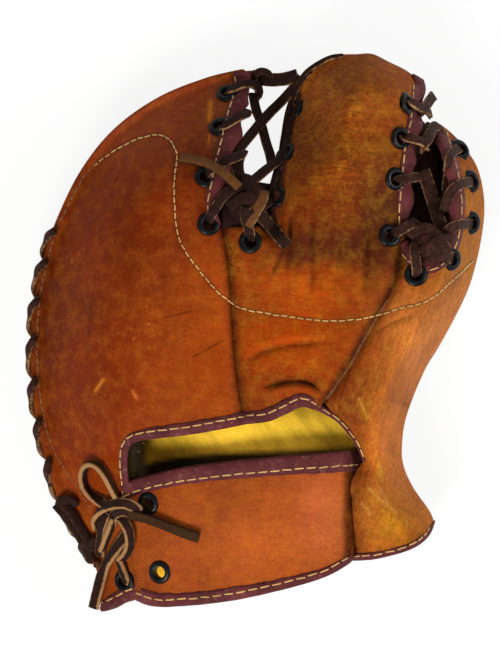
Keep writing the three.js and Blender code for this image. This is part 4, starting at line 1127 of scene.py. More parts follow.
# Once round the lace's section: shares of half its width and half its thickness, cut edge and flesh side.
LACE_SECTION = [
    (-1.0, -0.55, 1, 0.5), (-0.86, -1.0, 0.7, 1), (-0.4, -1.05, 0, 1), (0.4, -1.05, 0, 1),
    (0.86, -1.0, 0.7, 1), (1.0, -0.55, 1, 0.5), (1.0, 0.55, 1, 0), (0.86, 1.0, 0.7, 0), (0.4, 1.08, 0, 0),
    (-0.4, 1.08, 0, 0), (-0.86, 1.0, 0.7, 0), (-1.0, 0.55, 1, 0),
]


def lace(name, points, width, thick, material, up, roll=None, spacing=1.2, cut=1.0):
    """Flat lace through places in mm.

    up is the lie of its grain face, roll turns it, in degrees, at each point, and cut is how much of its cut
    edge is bare."""
    roll = np.zeros(len(points)) if roll is None else roll
    dense = spline(np.column_stack([points, roll, up]), 0.6)
    run = run_of(dense[:, :3])
    at = np.linspace(0, run[-1], max(4, int(run[-1] / spacing)))
    line = np.column_stack([np.interp(at, run, dense[:, k]) for k in range(7)])
    centre, turn, lie = line[:, :3], np.radians(line[:, 3:4]), line[:, 4:]
    ahead = heading(centre)
    lie = unit(lie - (lie * ahead).sum(1)[:, None] * ahead)
    wide = np.cross(ahead, lie) * np.cos(turn) + lie * np.sin(turn)
    flat = np.cross(wide, ahead)
    wear = np.array([noise.noise((s / 6.0, 1.7, len(name) * 0.31)) for s in at])
    half = width / 2 * (1 + 0.06 * wear)
    rings = np.array([
        centre + wide * (u * half)[:, None] + flat * (v * thick / 2) for u, v, _, _ in LACE_SECTION
    ]).transpose(1, 0, 2)
    sides = np.array([(edge * cut, flesh, 0, 1) for _, _, edge, flesh in LACE_SECTION])
    return swept(name, rings, material, sides)


def joined(name, parts):
    """One piece from several."""
    bpy.ops.object.select_all(action="DESELECT")
    for part in parts:
        part.select_set(True)
    bpy.context.view_layer.objects.active = parts[0]
    bpy.ops.object.join()
    parts[0].name = name
    parts[0].data.name = name
    return parts[0]


def turned_pattern(name, profile, sides):
    """An object to repeat: a closed ring turned from a closed profile of (radius, height) in mm."""
    turn = 2 * np.pi * np.arange(sides) / sides
    r, z = np.transpose(profile)
    rings = np.stack([np.outer(np.cos(turn), r), np.outer(np.sin(turn), r), np.tile(z, (sides, 1))], axis=2)
    count = len(profile)
    faces = []
    for k in range(sides):
        near, far = k * count, (k + 1) % sides * count
        for i in range(count):
            j = (i + 1) % count
            faces.append((near + i, far + i, far + j, near + j))
    return mesh_object(name, rings.reshape(-1, 3) * MM, [], faces)


# Geometry Nodes.
def new_tree(name, sockets):
    """An empty tree with named inputs, those inputs, and the function that adds nodes to it."""
    tree = bpy.data.node_groups.new(name, "GeometryNodeTree")
    for label, kind in [("Geometry", "Geometry"), *sockets]:
        tree.interface.new_socket(label, in_out="INPUT", socket_type="NodeSocket" + kind)
    tree.interface.new_socket("Geometry", in_out="OUTPUT", socket_type="NodeSocketGeometry")
    add = partial(add_node, tree)
    return tree, add("NodeGroupInput").node.outputs, add


def end_tree(add, laid, material):
    """Makes the repeated shapes real and gives them their finish."""
    real = add("GeometryNodeRealizeInstances", in_0=laid)
    add("NodeGroupOutput", in_0=add("GeometryNodeSetMaterial", Geometry=real, Material=material))


def stitch_tree():
    """Sewing: round-ended stitches laid end to end along the lines of a mesh."""
    tree, given, add = new_tree(
        "row_of_stitches", [("Pitch", "Float"), ("Stitch", "Object"), ("Thread", "Material")])
    line = add("GeometryNodeMeshToCurve", in_0=given["Geometry"])
    places = add("GeometryNodeCurveToPoints", {"mode": "LENGTH"}, "Points", in_0=line, Length=given["Pitch"])
    stitch = add("GeometryNodeObjectInfo", out="Geometry", in_0=given["Stitch"])
    along = places.node.outputs["Rotation"]
    laid = add("GeometryNodeInstanceOnPoints", Points=places, Instance=stitch, Rotation=along)
    end_tree(add, laid, given["Thread"])
    return tree


def eyelet_tree():
    """Eyelets set on points, each square to the hide by its seat direction."""
    tree, given, add = new_tree("set_of_eyelets", [("Eyelet", "Object"), ("Enamel", "Material")])
    seat = add("GeometryNodeInputNamedAttribute", {"data_type": "FLOAT_VECTOR"}, "Attribute", Name="seat")
    square = add("FunctionNodeAlignRotationToVector", {"axis": "Z"}, Vector=seat)
    ring = add("GeometryNodeObjectInfo", out="Geometry", in_0=given["Eyelet"])
    laid = add("GeometryNodeInstanceOnPoints", Points=given["Geometry"], Instance=ring, Rotation=square)
    end_tree(add, laid, given["Enamel"])
    return tree


def grown(name, source, tree, values, material):
    """Runs a tree on a mesh object and keeps the result as a plain piece."""
    step = source.modifiers.new("grow", "NODES")
    step.node_group = tree
    named = {item.name: item.identifier for item in tree.interface.items_tree if item.in_out == "INPUT"}
    for label, value in values.items():
        step[named[label]] = value
    source.update_tag()
    bpy.context.view_layer.update()
    mesh = bpy.data.meshes.new_from_object(source.evaluated_get(bpy.context.evaluated_depsgraph_get()))
    bpy.data.objects.remove(source)
    mesh.name = name
    finish_mesh(mesh, material)
    return new_object(name, mesh)


def carry(made, folds):
    """Lets a piece ride on the hand or, where it folds, bakes its place into its mesh."""
    if folds:
        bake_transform(made)
    else:
        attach(made, "hand")


def stand_in(made, folds, slot, *nodes):
    """Makes a piece move and hides the CAD nodes that it stands for. slot is not used."""
    carry(made, folds)
    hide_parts(*nodes)


def length_property(label, millimetres, note):
    return FloatProperty(
        name=label, description=note, unit="LENGTH", precision=5, min=0, default=millimetres * MM)


class MittSizes(bpy.types.PropertyGroup):
    """Sizes that a user would change."""
    hide_step: length_property("Hide step", 1.7, "Mesh spacing on the back hides")
    palm_step: length_property("Palm step", 3.2, "Mesh spacing on palm, felt and lining")
    lace_width: length_property("Lace width", 5.0, "Width of the flat lace")
    lace_thick: length_property("Lace thickness", 1.9, "Thickness of the flat lace")
    stitch_pitch: length_property("Stitch pitch", 4.2, "Length of one stitch and its gap")
    stitch_thick: length_property("Thread thickness", 0.65, "Thickness of the sewing thread")
    eyelet_hole: length_property("Eyelet hole", 3.1, "Radius of the hole in an eyelet")
    eyelet_flange: length_property("Eyelet flange", 6.1, "Radius of an eyelet's flange")
    rim_lace: length_property("Rim lace", 3.8, "Width of the lace round the finger edge")


def size(name):
    """One of the mitt's sizes, in mm."""
    return round(getattr(bpy.context.scene.mitt_sizes, name) / MM, 4)


def colour_property(label, hex_value, note):
    return FloatVectorProperty(
        name=label, description=note, subtype="COLOR", size=3, min=0, max=1, default=linear(hex_value))


class MittColours(bpy.types.PropertyGroup):
    """Finishes that a user would change."""
    hide: colour_property("Hide", "#8E3C10", "Oiled cowhide of the back")
    hide_dark: colour_property("Oil stain", "#421A08", "Darkest oil stain on the hide")
    hide_pale: colour_property("Worn hide", "#C8701A", "Hide where the dye is rubbed off")
    hide_gold: colour_property("Napped hide", "#B67C1C", "Raised nap on the web")
    palm: colour_property("Palm", "#7E431C", "Palm hide")
    binding: colour_property("Binding", "#662D2F", "Folded edge binding")
    binding_worn: colour_property("Worn binding", "#8E5E54", "Binding where it is rubbed")
    lining: colour_property("Lining", "#FFCB38", "Ochre lining")
    lace: colour_property("Lace", "#23120D", "Grain face of the lace")
    lace_flesh: colour_property("Lace flesh", "#6C4422", "Suede side of the lace")
    lace_edge: colour_property("Lace edge", "#98714A", "Cut edge of the lace")
    felt: colour_property("Felt", "#B9AC90", "Wool felt pads")
    enamel: colour_property("Enamel", "#0B0D0F", "Black eyelet enamel")
    enamel_worn: colour_property("Worn enamel", "#2A3134", "Enamel rubbed on its lip")
    bow_edge: colour_property("Bow edge", "#9C7248", "Fresh cut edge of the wrist lace")
    thread: colour_property("Thread", "#E4B262", "Sewing thread")
    thread_worn: colour_property("Soiled thread", "#8E5A2E", "Thread of the row along the finger edge")


# How each finish is made from the colours.
FINISHES = {
    "back": lambda c: oiled_hide("oiled_cowhide_smooth", c.hide_dark, c.hide_pale, 0.46),
    "web": lambda c: oiled_hide(
        "oiled_cowhide_napped", c.hide_dark, c.hide_gold, 0.6, grain=1.5, nap=0.75, patchy=0.7),
    "thumb": lambda c: oiled_hide(
        "oiled_cowhide_brushed", c.hide_dark, c.hide_gold, 0.62, grain=1.5, nap=0.42, lie=1.25),
    "binding": lambda c: plain_hide(
        "maroon_sheepskin", c.binding, rgba(c.binding, 0.5), c.binding_worn, 0.55, 1.3, 0.5),
    "lining": lambda c: plain_hide(
        "ochre_sheepskin_suede", c.lining, rgba(c.lining, 0.85), rgba(c.lining, 1.3), 0.85, 1.0, 0.45,
        sheen=0.05, wrinkle=0.32),
    "palm": lambda c: plain_hide(
        "palm_cowhide", c.palm, rgba(c.palm, 0.6), rgba(c.palm, 1.5), 0.5, 1.6, 0.3),
    "lace": lambda c: rawhide_lace("oiled_rawhide_lace", c.lace, c.lace_flesh, c.lace_edge),
    "worn_lace": lambda c: rawhide_lace(
        "worn_rawhide_lace", rgba(c.lace, 1.3), c.lace_flesh, c.lace_edge, bare=0.33, rubbed=4.2),
    "bow": lambda c: rawhide_lace(
        "fresh_cut_rawhide_lace", c.lace, rgba(c.lace_flesh, 0.3), c.bow_edge, bare=0.2),
    "felt": lambda c: pressed_felt("pressed_wool_felt", c.felt, rgba(c.felt, 0.6)),
    "enamel": lambda c: black_enamel("black_stove_enamel", c.enamel, c.enamel_worn),
    "thread": lambda c: waxed_thread("waxed_linen_thread", c.thread, rgba(c.thread, 0.55)),
    "worn_thread": lambda c: waxed_thread("soiled_linen_thread", c.thread_worn, rgba(c.thread_worn, 0.5)),
}
MADE_FINISHES = {}


def finish(name):
    """A finish that several pieces share, made once."""
    if name not in MADE_FINISHES:
        MADE_FINISHES[name] = FINISHES[name](bpy.context.scene.mitt_colours)
    return MADE_FINISHES[name]


# Outlines of the pieces.
def edges(*lists):
    return [spline(points, 2.0) for points in lists]


def round_loop(edge):
    """A smooth closed outline through the points of a pad."""
    return closed_loop(spline(edge + edge[:1], 2.0)[:-1])


def finger_loop():
    return closed_loop(*edges(FINGER_RIM, FINGER_GAP_EDGE, FINGER_SEAM, OPENING_EDGE, HEEL_EDGE))


def back_loop():
    seam = np.array(FINGER_SEAM[::-1]) - [SEAM_LAP, 0]
    thumb_seam = np.array(THUMB_SEAM[::-1]) + [SEAM_LAP, 0]
    return closed_loop(*edges(
        seam, WEB_LEFT_EDGE, WEB_TOP, WEB_RIGHT_EDGE, thumb_seam, BACK_OPENING_EDGE[::-1]))


def thumb_loop():
    return closed_loop(*edges(
        THUMB_OPENING_EDGE, COLUMN_EDGE, THUMB_HEEL, THUMB_RIM, THUMB_GAP_EDGE, THUMB_SEAM[::-1]))


def web_loop():
    return closed_loop(*edges(WEB_LEFT_EDGE, WEB_TOP, WEB_RIGHT_EDGE))


def strap_loop():
    return closed_loop(*edges(STRAP_TOP, STRAP_END, STRAP_BOTTOM))


def finger_palm_loop():
    x = BREAK_X - BREAK_GAP
    break_edge = np.array([(-17, WEB_BASE_Y), (x, WEB_BASE_Y), (x, -114)], float)
    return closed_loop(*edges(FINGER_RIM, FINGER_GAP_EDGE), break_edge, *edges(PALM_HEEL_EDGE))


def thumb_palm_loop():
    x, y = BREAK_X + BREAK_GAP, WEB_BASE_Y - 2 * BREAK_GAP
    break_edge = np.array([(WEB_RIGHT_EDGE[-1][0], y), (x, y), (x, -113)], float)
    return closed_loop(break_edge, *edges(THUMB_PALM_HEEL, THUMB_RIM, THUMB_GAP_EDGE))


EYELET_CLEAR = 0.6


def eyelet_holes(places):
    """Holes that a hide has for its eyelets."""
    return [(x, y, size("eyelet_hole") + EYELET_CLEAR) for x, y in places]


class MITT_OT_back_hides(bpy.types.Operator):
    """Finger hide, hand back hide with its web lobe, and thumb hide"""
    bl_idname = "mitt.back_hides"
    bl_label = "Back hides"

    def execute(self, context):
        finger_eyelets = FINGER_EYELETS + HEEL_EYELET
        back_eyelets = WEB_LEFT_EYELETS + WEB_RIGHT_EYELETS + BACK_EYELETS
        for name, loop, low, high, look, eyelets, folds, slot, node in (
            ("finger_hide", finger_loop(), back_under, back_face, "back", finger_eyelets,
             False, "back_leather", "finger_back_panel"),
            ("back_hide", back_loop(), back_under, back_face, "web", back_eyelets,
             True, "web_leather", "hand_back_panel"),
            ("thumb_hide", thumb_loop(), thumb_under, thumb_face, "thumb", THUMB_EYELETS,
             True, "back_leather", "thumb_back_panel"),
        ):
            holes = eyelet_holes(eyelets)
            made = hide(name, loop, low, high, finish(look), size("hide_step"), holes, lines=fine_lines())
            paint_hide(made, context.scene.mitt_colours.hide)
            stand_in(made, folds, slot, node)
        return {"FINISHED"}


class MITT_OT_palm(bpy.types.Operator):
    """Palm hides of the fingers, the web and the thumb"""
    bl_idname = "mitt.palm"
    bl_label = "Palm hides"

    def execute(self, context):
        for name, loop, low, high, node in (
            ("finger_palm_hide", finger_palm_loop(), finger_palm, finger_inner, "finger_palm_panel"),
            ("web_palm_hide", web_loop(), web_palm, web_inner, "web_palm_panel"),
            ("thumb_palm_hide", thumb_palm_loop(), thumb_palm, thumb_inner, "thumb_palm_panel"),
        ):
            made = hide(name, loop, low, high, finish("palm"), size("palm_step"))
            stand_in(made, True, "palm_leather", node)
        return {"FINISHED"}


class MITT_OT_felt(bpy.types.Operator):
    """Felt pads between the palm and the back"""
    bl_idname = "mitt.felt"
    bl_label = "Felt pads"

    def execute(self, context):
        for name, edge, inner, top, node in (
            ("finger_felt", FINGER_PAD_EDGE, finger_inner, finger_felt, "finger_felt_pad"),
            ("thumb_felt", THUMB_PAD_EDGE, thumb_inner, thumb_felt, "thumb_felt_pad"),
        ):
            under, over = above(inner, LAYER_GAP), held_down(top)
            made = hide(name, round_loop(edge), under, over, finish("felt"), size("palm_step"), ease=1.5)
            stand_in(made, True, "felt", node)
        return {"FINISHED"}


# The lining's mesh is finer than the palm's, and it swells up towards the window: how high, where along y,
# how far, and where along x it starts, in mm.
LINING_STEP_SHARE = 0.7
SWELL = 12
SWELL_Y = -49
SWELL_REACH = 18
SWELL_X = (-56, -14)


def creased(face):
    """Top of the lining on a felt, with the creases that a hand leaves."""
    def top(xy):
        waves = np.sin(xy[:, 0] * 0.55 + 0.22 * xy[:, 1]) * 0.35
        swell = SWELL * bell(xy[:, 1] - SWELL_Y, SWELL_REACH) * smooth(xy[:, 0], *SWELL_X)
        return face(xy) + LAYER_GAP + LINING + waves + swell + unevenness(xy, 12, 0.8)
    return held_down(top)


class MITT_OT_lining(bpy.types.Operator):
    """Ochre lining over the felt"""
    bl_idname = "mitt.lining"
    bl_label = "Lining"

    def execute(self, context):
        step = size("palm_step") * LINING_STEP_SHARE
        for name, edge, felt, node in (
            ("hand_lining_skin", LINING_EDGE, finger_felt, "hand_lining"),
            ("thumb_lining_skin", THUMB_LINING_EDGE, thumb_felt, "thumb_lining"),
        ):
            made = hide(name, round_loop(edge), above(felt, LAYER_GAP), creased(felt), finish("lining"), step)
            paint_lining_shadow(made)
            stand_in(made, True, "lining", node)
        return {"FINISHED"}


class MITT_OT_strap(bpy.types.Operator):
    """Wrist strap and its lining"""
    bl_idname = "mitt.strap"
    bl_label = "Wrist strap"

    def execute(self, context):
        holes = eyelet_holes(STRAP_EYELETS)
        strap = hide(
            "strap_hide", strap_loop(), strap_under, strap_skin, finish("back"), size("hide_step"), holes)
        # The strap's right end gets a painted shadow where it goes under the thumb column.
        paint_hide(strap, context.scene.mitt_colours.hide, STRAP_SHADE_X)
        lining = hide(
            "strap_lining_skin", strap_loop(), strap_low, above(strap_under, -LAYER_GAP), finish("lining"),
            size("palm_step"), holes)
        stand_in(strap, False, "back_leather", "wrist_strap")
        stand_in(lining, False, "lining", "strap_lining")
        return {"FINISHED"}


OPENING_LINE = [
    *OPENING_EDGE[::-1], *BACK_OPENING_EDGE[1:-1], (28.4, -38.6), (34.6, -41.6), *THUMB_OPENING_EDGE[1:],
]


def opening_face(xy):
    """Back hide and thumb hide round the window, without a step between them."""
    return back_face(xy) - column_drop(xy) * smooth(xy[:, 0], *WINDOW_BLEND_X)


def opening_under(xy):
    return opening_face(xy) - BACK_HIDE


class MITT_OT_bindings(bpy.types.Operator):
    """Folded maroon bindings on the open edges"""
    bl_idname = "mitt.bindings"
    bl_label = "Bindings"

    def execute(self, context):
        for name, edge, low, high, side, width, tied, folds, nodes in (
            ("opening_edge_binding", OPENING_LINE, opening_under, opening_face, 1,
             [(0, 3.0), (0.16, 4.0), (0.3, 5.4), (0.72, 5.6), (0.79, 2.6), (0.9, 1.5), (1, 0.8)], [],
             True, ["opening_binding", "thumb_opening_binding"]),
            ("finger_edge_binding", FINGER_GAP_EDGE, finger_palm, back_face, -1,
             [(0, 7.2), (0.5, 8.2), (0.8, 6.0), (0.92, 3.4), (1, 0.8)],
             [(-6, 126), (-9, 112), (-12, 92), (-20, 66)], False, ["finger_web_binding"]),
            ("heel_edge_binding", HEEL_EDGE, back_under, back_face, -1,
             [(0, 6.0), (0.7, 6.0), (0.92, 4.4), (1, 1.6)], [], False, ["heel_binding"]),
            ("web_left_edge_binding", WEB_LEFT_EDGE, web_palm, back_face, -1,
             [(0, 2.6), (1, 2.6)], [], True, ["web_left_binding"]),
            ("web_right_edge_binding", [(81, 134), (84.6, 131), *WEB_RIGHT_EDGE], web_palm, back_face, -1,
             [(0, 0.8), (0.12, 4.4), (0.3, 5.8), (0.9, 5.8), (1, 3.0)],
             [(85, 116), (82.4, 97), (79.4, 79.6), (77.8, 57)], True, ["web_right_binding"]),
            ("thumb_web_edge_binding", THUMB_GAP_EDGE, thumb_palm, thumb_face, 1,
             [(0, 1.4), (0.06, 4.6), (0.14, 6.6), (0.9, 6.6), (1, 3.0)],
             [(97.4, 91), (101, 76), (100.4, 55), (95, 40), (84, 38)], True, ["thumb_web_binding"]),
            ("thumb_heel_edge_binding", [*THUMB_HEEL, (93, -98)], thumb_under, thumb_face, 1,
             [(0, 3.0), (0.8, 2.6), (0.93, 1.6), (1, 0.4)], [], True, ["thumb_heel_binding"]),
            ("strap_top_edge_binding", STRAP_TOP, strap_low, strap_skin, -1,
             [(0, 6.4), (0.3, 7.4), (0.8, 8.6), (1, 8.6)], [], False, ["strap_top_binding"]),
            ("strap_bottom_edge_binding", STRAP_BOTTOM, strap_low, strap_skin, -1,
             [(0, 2.8), (0.25, 4.4), (0.55, 5.8), (1, 5.8)], [], False, ["strap_bottom_binding"]),
        ):
            made = binding(name, edge, low, high, side, finish("binding"), width, tied)
            stand_in(made, folds, "binding", *nodes)
        return {"FINISHED"}


SEAT_REACH = 3.5
EYELET_SIDES = 28


def seats(face, places, rest=0.0):
    """Seat points and directions of eyelets on a face.

    rest turns them up, as where the edge is pulled flat."""
    xy = np.array(places, float)
    up = unit(normals_on(face, xy, SEAT_REACH) + [0, 0, rest])
    around = SEAT_REACH * np.array([(1, 0), (-1, 0), (0, 1), (0, -1)])
    height = np.mean([face(xy + way) for way in around], axis=0)
    return np.column_stack([xy, height + 0.8 * rest]), up


class MITT_OT_eyelets(bpy.types.Operator):
    """Rolled metal eyelets in black enamel"""
    bl_idname = "mitt.eyelets"
    bl_label = "Eyelets"

    def execute(self, context):
        hole, flange = size("eyelet_hole"), size("eyelet_flange")
        barrel = hole + 0.7
        pattern = turned_pattern("eyelet_ring", [
            (hole, -3.6), (barrel, -3.6), (barrel, -0.2), (flange - 0.2, 0.1), (flange, 0.45),
            (flange - 0.25, 0.95), (flange - 0.9, 1.35), (barrel + 0.3, 1.6), (hole + 0.45, 1.5),
            (hole + 0.12, 1.1), (hole, 0.4),
        ], EYELET_SIDES)
        tree = eyelet_tree()
        enamel = finish("enamel")
        on_hand = [
            ("finger_eyelet", back_face, FINGER_EYELETS), ("heel_eyelet", back_face, HEEL_EYELET),
            ("strap_eyelet", strap_skin, STRAP_EYELETS),
        ]
        on_back = [
            ("back_eyelet", back_face, BACK_EYELETS), ("web_left_eyelet", back_face, WEB_LEFT_EYELETS),
            ("web_right_eyelet", back_face, WEB_RIGHT_EYELETS),
        ]
        on_thumb = [("thumb_eyelet", thumb_face, THUMB_EYELETS)]
        for name, rows, folds, rest in (
            ("eyelets_finger", on_hand, False, 0.0),
            ("eyelets_back", on_back, True, 0.0),
            ("eyelets_thumb", on_thumb, True, 0.6),
        ):
            seated = [seats(face, places, rest) for _, face, places in rows]
            at, up = (np.vstack(part) for part in zip(*seated))
            source = mesh_object(name + "_seats", placed(at))
            set_layer(source.data, "seat", "FLOAT_VECTOR", "vector", up)
            made = grown(name, source, tree, {"Eyelet": pattern, "Enamel": enamel}, enamel)
            nodes = [f"{node}_{i + 1}" for node, _, places in rows for i in range(len(places))]
            stand_in(made, folds, "eyelet", *nodes)
        bpy.data.objects.remove(pattern)
        return {"FINISHED"}


# Heights of the thread over the bindings, the back and the finger edge, in mm, where its long row meets the
# seam, and one stitch: half its length as a share of the pitch, how far it wanders, and its profile.
THREAD_OVER_BINDING = 1.5
THREAD_OVER_BACK = 0.3
THREAD_AT_EDGE = 0.15
LONG_ROW_SEAM_X = -13.0
STITCH_SIDES = 6
STITCH_SHARE = 0.42
STITCH_WANDER = 0.35
STITCH_PROFILE = [
    (0.02, -1.0), (0.6, -0.93), (0.95, -0.75), (1.0, 0.0), (0.95, 0.75), (0.6, 0.93), (0.02, 1.0),
]


def beside(points, shift):
    """A line beside a smooth edge.

    A positive shift is to the left of its run, as one number or as (share, shift) pairs."""
    line = spline(points, 1.5)
    if isinstance(shift, list):
        shift = np.interp(np.linspace(0, 1, len(line)), *zip(*shift))[:, None]
    return line + left_of(line) * shift


def long_row_face(xy):
    """Heights of the long row where it passes from the back hide to the thumb hide."""
    seam = spline(THUMB_SEAM, 2)
    seam_x = np.array([seam[np.argmin(np.abs(seam[:, 1] - y))][0] for y in xy[:, 1]])
    return np.where(xy[:, 0] > seam_x, thumb_face(xy), back_face(xy))


def sewing_lines(name, rows):
    """Lines of sewing on their faces, a little uneven as by hand."""
    points, links = [], []
    first = 0
    for line, face, rise in rows:
        wander = np.array([[noise.noise((x / 2.6, y / 2.6, k)) for k in (0.3, 4.7)] for x, y in line])
        line = line + STITCH_WANDER * wander
        points.append(np.column_stack([line, face(line) + rise]))
        links += [(first + i, first + i + 1) for i in range(len(line) - 1)]
        first += len(line)
    return mesh_object(name, placed(np.vstack(points)), links)


class MITT_OT_stitches(bpy.types.Operator):
    """Rows of waxed thread on the bindings and across the back"""
    bl_idname = "mitt.stitches"
    bl_label = "Stitches"

    def execute(self, context):
        over = THREAD_OVER_BINDING
        window = beside(OPENING_LINE, [(0, 3.0), (0.73, 3.0), (0.8, 1.2), (1, 1.2)])[:-3]
        gap = beside(FINGER_GAP_EDGE, [(0, -6.0), (0.4, -6.4), (0.6, -6.0), (0.9, -3.4)])[2:-6]
        strap_top = beside(STRAP_TOP, [(0, -4.4), (0.3, -5.4), (1, -5.6)])
        finger_edges = [
            (gap, back_face, over),
            (beside(HEEL_EDGE, -4.0), back_face, over),
            (strap_top, strap_skin, over),
            (beside(STRAP_BOTTOM, -2.6)[3:], strap_skin, over),
        ]
        fold_edges = [
            (window, opening_face, over),
            (beside(WEB_RIGHT_EDGE, -4.2)[1:-2], back_face, over),
            (beside(THUMB_GAP_EDGE, 4.6)[4:-4], thumb_face, over),
            (beside(THUMB_HEEL, 1.7)[:-2], thumb_face, over),
        ]
        long_row = spline(LONG_STITCH, 1.5)
        on_finger = long_row[:, 0] < LONG_ROW_SEAM_X
        finger_long = [(long_row[on_finger], back_face, THREAD_OVER_BACK)]
        fold_long = [(long_row[~on_finger], long_row_face, THREAD_OVER_BACK)]
        edge_row = [(spline(EDGE_STITCH, 1.5), back_face, THREAD_AT_EDGE)]
        tree = stitch_tree()
        for name, rows, folds, thicker, longer, look in (
            ("stitches_finger_edges", finger_edges, False, 1.3, 1.45, "thread"),
            ("stitches_fold_edges", fold_edges, True, 1.3, 1.45, "thread"),
            ("stitches_finger_long", finger_long, False, 1.25, 1.0, "thread"),
            ("stitches_fold_long", fold_long, True, 1.35, 1.0, "thread"),
            ("stitches_finger_rim", edge_row, False, 1.2, 1.0, "worn_thread"),
        ):
            half, pitch = thicker * size("stitch_thick") / 2, longer * size("stitch_pitch")
            bead = [(r * half, h * pitch * STITCH_SHARE) for r, h in STITCH_PROFILE]
            stitch = turned_pattern("one_stitch", bead, STITCH_SIDES)
            thread = finish(look)
            values = {"Pitch": pitch * MM, "Stitch": stitch, "Thread": thread}
            made = grown(name, sewing_lines(name + "_lines", rows), tree, values, thread)
            bpy.data.objects.remove(stitch)
            carry(made, folds)
        return {"FINISHED"}


TAIL_THICK = 2.2


def on_skin(points, face):
    """Lace places from photograph pixels and a rise in mm over a face, with their lie and roll there."""
    p = from_photo(points)
    roll = p[:, 3] if p.shape[1] > 3 else np.zeros(len(p))
    return np.column_stack([p[:, :2], face(p[:, :2]) + p[:, 2]]), normals_on(dome, p[:, :2]), roll


def skin_lace(name, points, face, width, thick=None, look="lace", cut=1.0):
    at, up, roll = on_skin(points, face)
    return lace(name, at, width, thick or size("lace_thick"), finish(look), up, roll, cut=cut)


def free_lace(name, points, face, width, look, cut):
    """A free lace end on the hand."""
    made = skin_lace(name, points, face, width, TAIL_THICK, look, cut)
    path = placed(spline(on_skin(points, face)[0], 1.5))
    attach(made, "hand")
    float(run_of(path)[-1])
    size("lace_width") * MM


# Laces in the photograph's pixels: width in mm, then places with the rise over the back in mm and the roll
# in degrees.
LEFT_LACES = {
    "eyelet_1": (5.0, [
        (226, 93, -3), (231, 90, 2.6), (240, 86, 3.4), (250, 84.5, 3.2), (257, 87, 1.2), (259, 93, -3),
        (256, 98, -8),
    ]),
    "eyelet_2": (5.0, [
        (219, 128, -3), (224, 127.5, 2.6), (233, 122, 3.4), (242, 116.5, 3.2), (247, 114, 0.5),
        (246, 111, -5),
    ]),
    "eyelet_3": (5.0, [
        (206, 177, -3), (212, 171, 2.2), (222, 165, 3.2), (233, 160, 3.2), (240, 157, 1.4), (243, 153, -4),
    ]),
    "eyelet_4": (5.2, [
        (208, 222, -3), (211, 217, 2.6), (217, 207, 3.6), (224, 197, 4.2), (232, 190, 4.4), (242, 183, 3),
    ]),
    "eyelet_5": (5.2, [(250, 240, -3), (250, 235, 2.6), (248, 227, 4), (245, 217, 6), (246, 208, 7)]),
    "top_loop": (3.4, [(254, 84, -4), (255, 75, -2), (261, 71, -1), (268, 73, -2), (271, 78, -3)]),
    "cover": (6.0, [(243, 151, -4), (239, 160, -2), (238, 170, -1), (241, 180, 0), (246, 188, 2)]),
    "top_band": (7.0, [(252, 76, -5), (262, 79, -4), (274, 80, -4), (286, 79, -4), (297, 76, -3)]),
    "cross_a": (5.2, [
        (300, 78, -1), (292, 90, -2), (282, 101, -3), (270, 113, -3.6), (257, 128, -4), (245, 143, -3.4),
        (237, 153, -2),
    ]),
    "cross_b": (5.0, [
        (253, 94, -5), (256, 110, -6), (261, 124, -6.5), (266, 143, -6), (270, 156, -5), (272, 168, -4),
    ]),
    "web_rim": (2.4, [
        (343, 57, -0.8), (331, 58.5, 0.6), (319, 64, 1), (309, 70.5, 1.2), (302, 78, 1.4), (296, 88, 1.4),
    ]),
    "web_edge": (3.4, [
        (310, 72, 0), (303, 79, 1.4), (297, 88, 1.6), (292, 101, 1.6), (288, 114, 1.6), (285, 131, 1.4),
        (282, 150, 1.4),
    ]),
    "web_edge_in": (3.2, [
        (297, 86, 0), (299, 97, 2), (298, 107, 2.8), (293, 119, 2.4), (289, 134, 2), (287, 150, 2),
    ]),
    "web_hook": (2.6, [
        (286, 150, 2), (285, 158, 2.6), (281, 166, 2.6), (277, 174, 2.4), (273, 184, 2), (273, 194, 1),
    ]),
    "web_hook_in": (2.0, [(278, 172, 2.4), (279, 181, 2.8), (277, 190, 2.6), (273, 196, 1.6)]),
    "bridge": (5.2, [
        (287, 151, 1.4), (282, 159, 2.4), (274, 165, 1.6), (266, 171, 0.6), (259, 177, 1), (252, 183, 3),
    ]),
    "edge_low": (5.2, [
        (283, 160, 0.6), (278, 174, 0.8), (274, 188, 0.6), (270, 202, 0.4), (267, 212, 0.6),
    ]),
    # The three gap bands are wide dark lace laid deep in the gap as painted shade.
    "gap_left": (9.0, [(237, 150, -9), (234, 168, -9), (230, 186, -8), (225, 204, -7), (222, 227, -6)]),
    "gap_low": (13.0, [(222, 200, -4), (236, 197, -6), (250, 195, -7), (264, 196, -6), (276, 198, -4)]),
    "gap_foot": (12.0, [(222, 218, -3), (238, 217, -4), (254, 217, -4), (270, 219, -3)]),
    "knot_a": (7.0, [
        (236, 185, 2), (243, 181, 4.5), (250, 184, 6.5), (252, 193, 7), (249, 204, 6.4), (243, 213, 5),
        (237, 220, 3),
    ]),
    "knot_b": (5.6, [(227, 197, 3), (235, 191, 5), (246, 188, 6), (256, 191, 5), (264, 198, 2.4)]),
    "knot_c": (6.0, [(229, 209, 3.5), (237, 203, 6), (246, 199, 8.6), (256, 202, 6), (262, 212, 3)]),
    "knot_d": (6.0, [(239, 223, 3), (246, 215, 5.5), (254, 209, 6), (262, 206, 4), (270, 201, 1)]),
    "tail_short": (6.2, [
        (263, 193, 6, 180), (261, 202, 7.4, 180), (255, 213, 6.4, 180), (247, 227, 4.4, 180),
    ]),
    "tail_dark": (6.4, [(256, 212, 5), (263, 219, 5), (272, 229, 4), (280, 239, 3), (286, 246, 2.6)]),
}
LEFT_TAIL = [
    (239, 189, 7, 180), (231, 181, 6.6, 180), (222, 173, 5.4, 180), (210, 166, 3.8, 180),
    (196, 161.5, 2.8, 180), (181, 159, 2.4, 180),
]
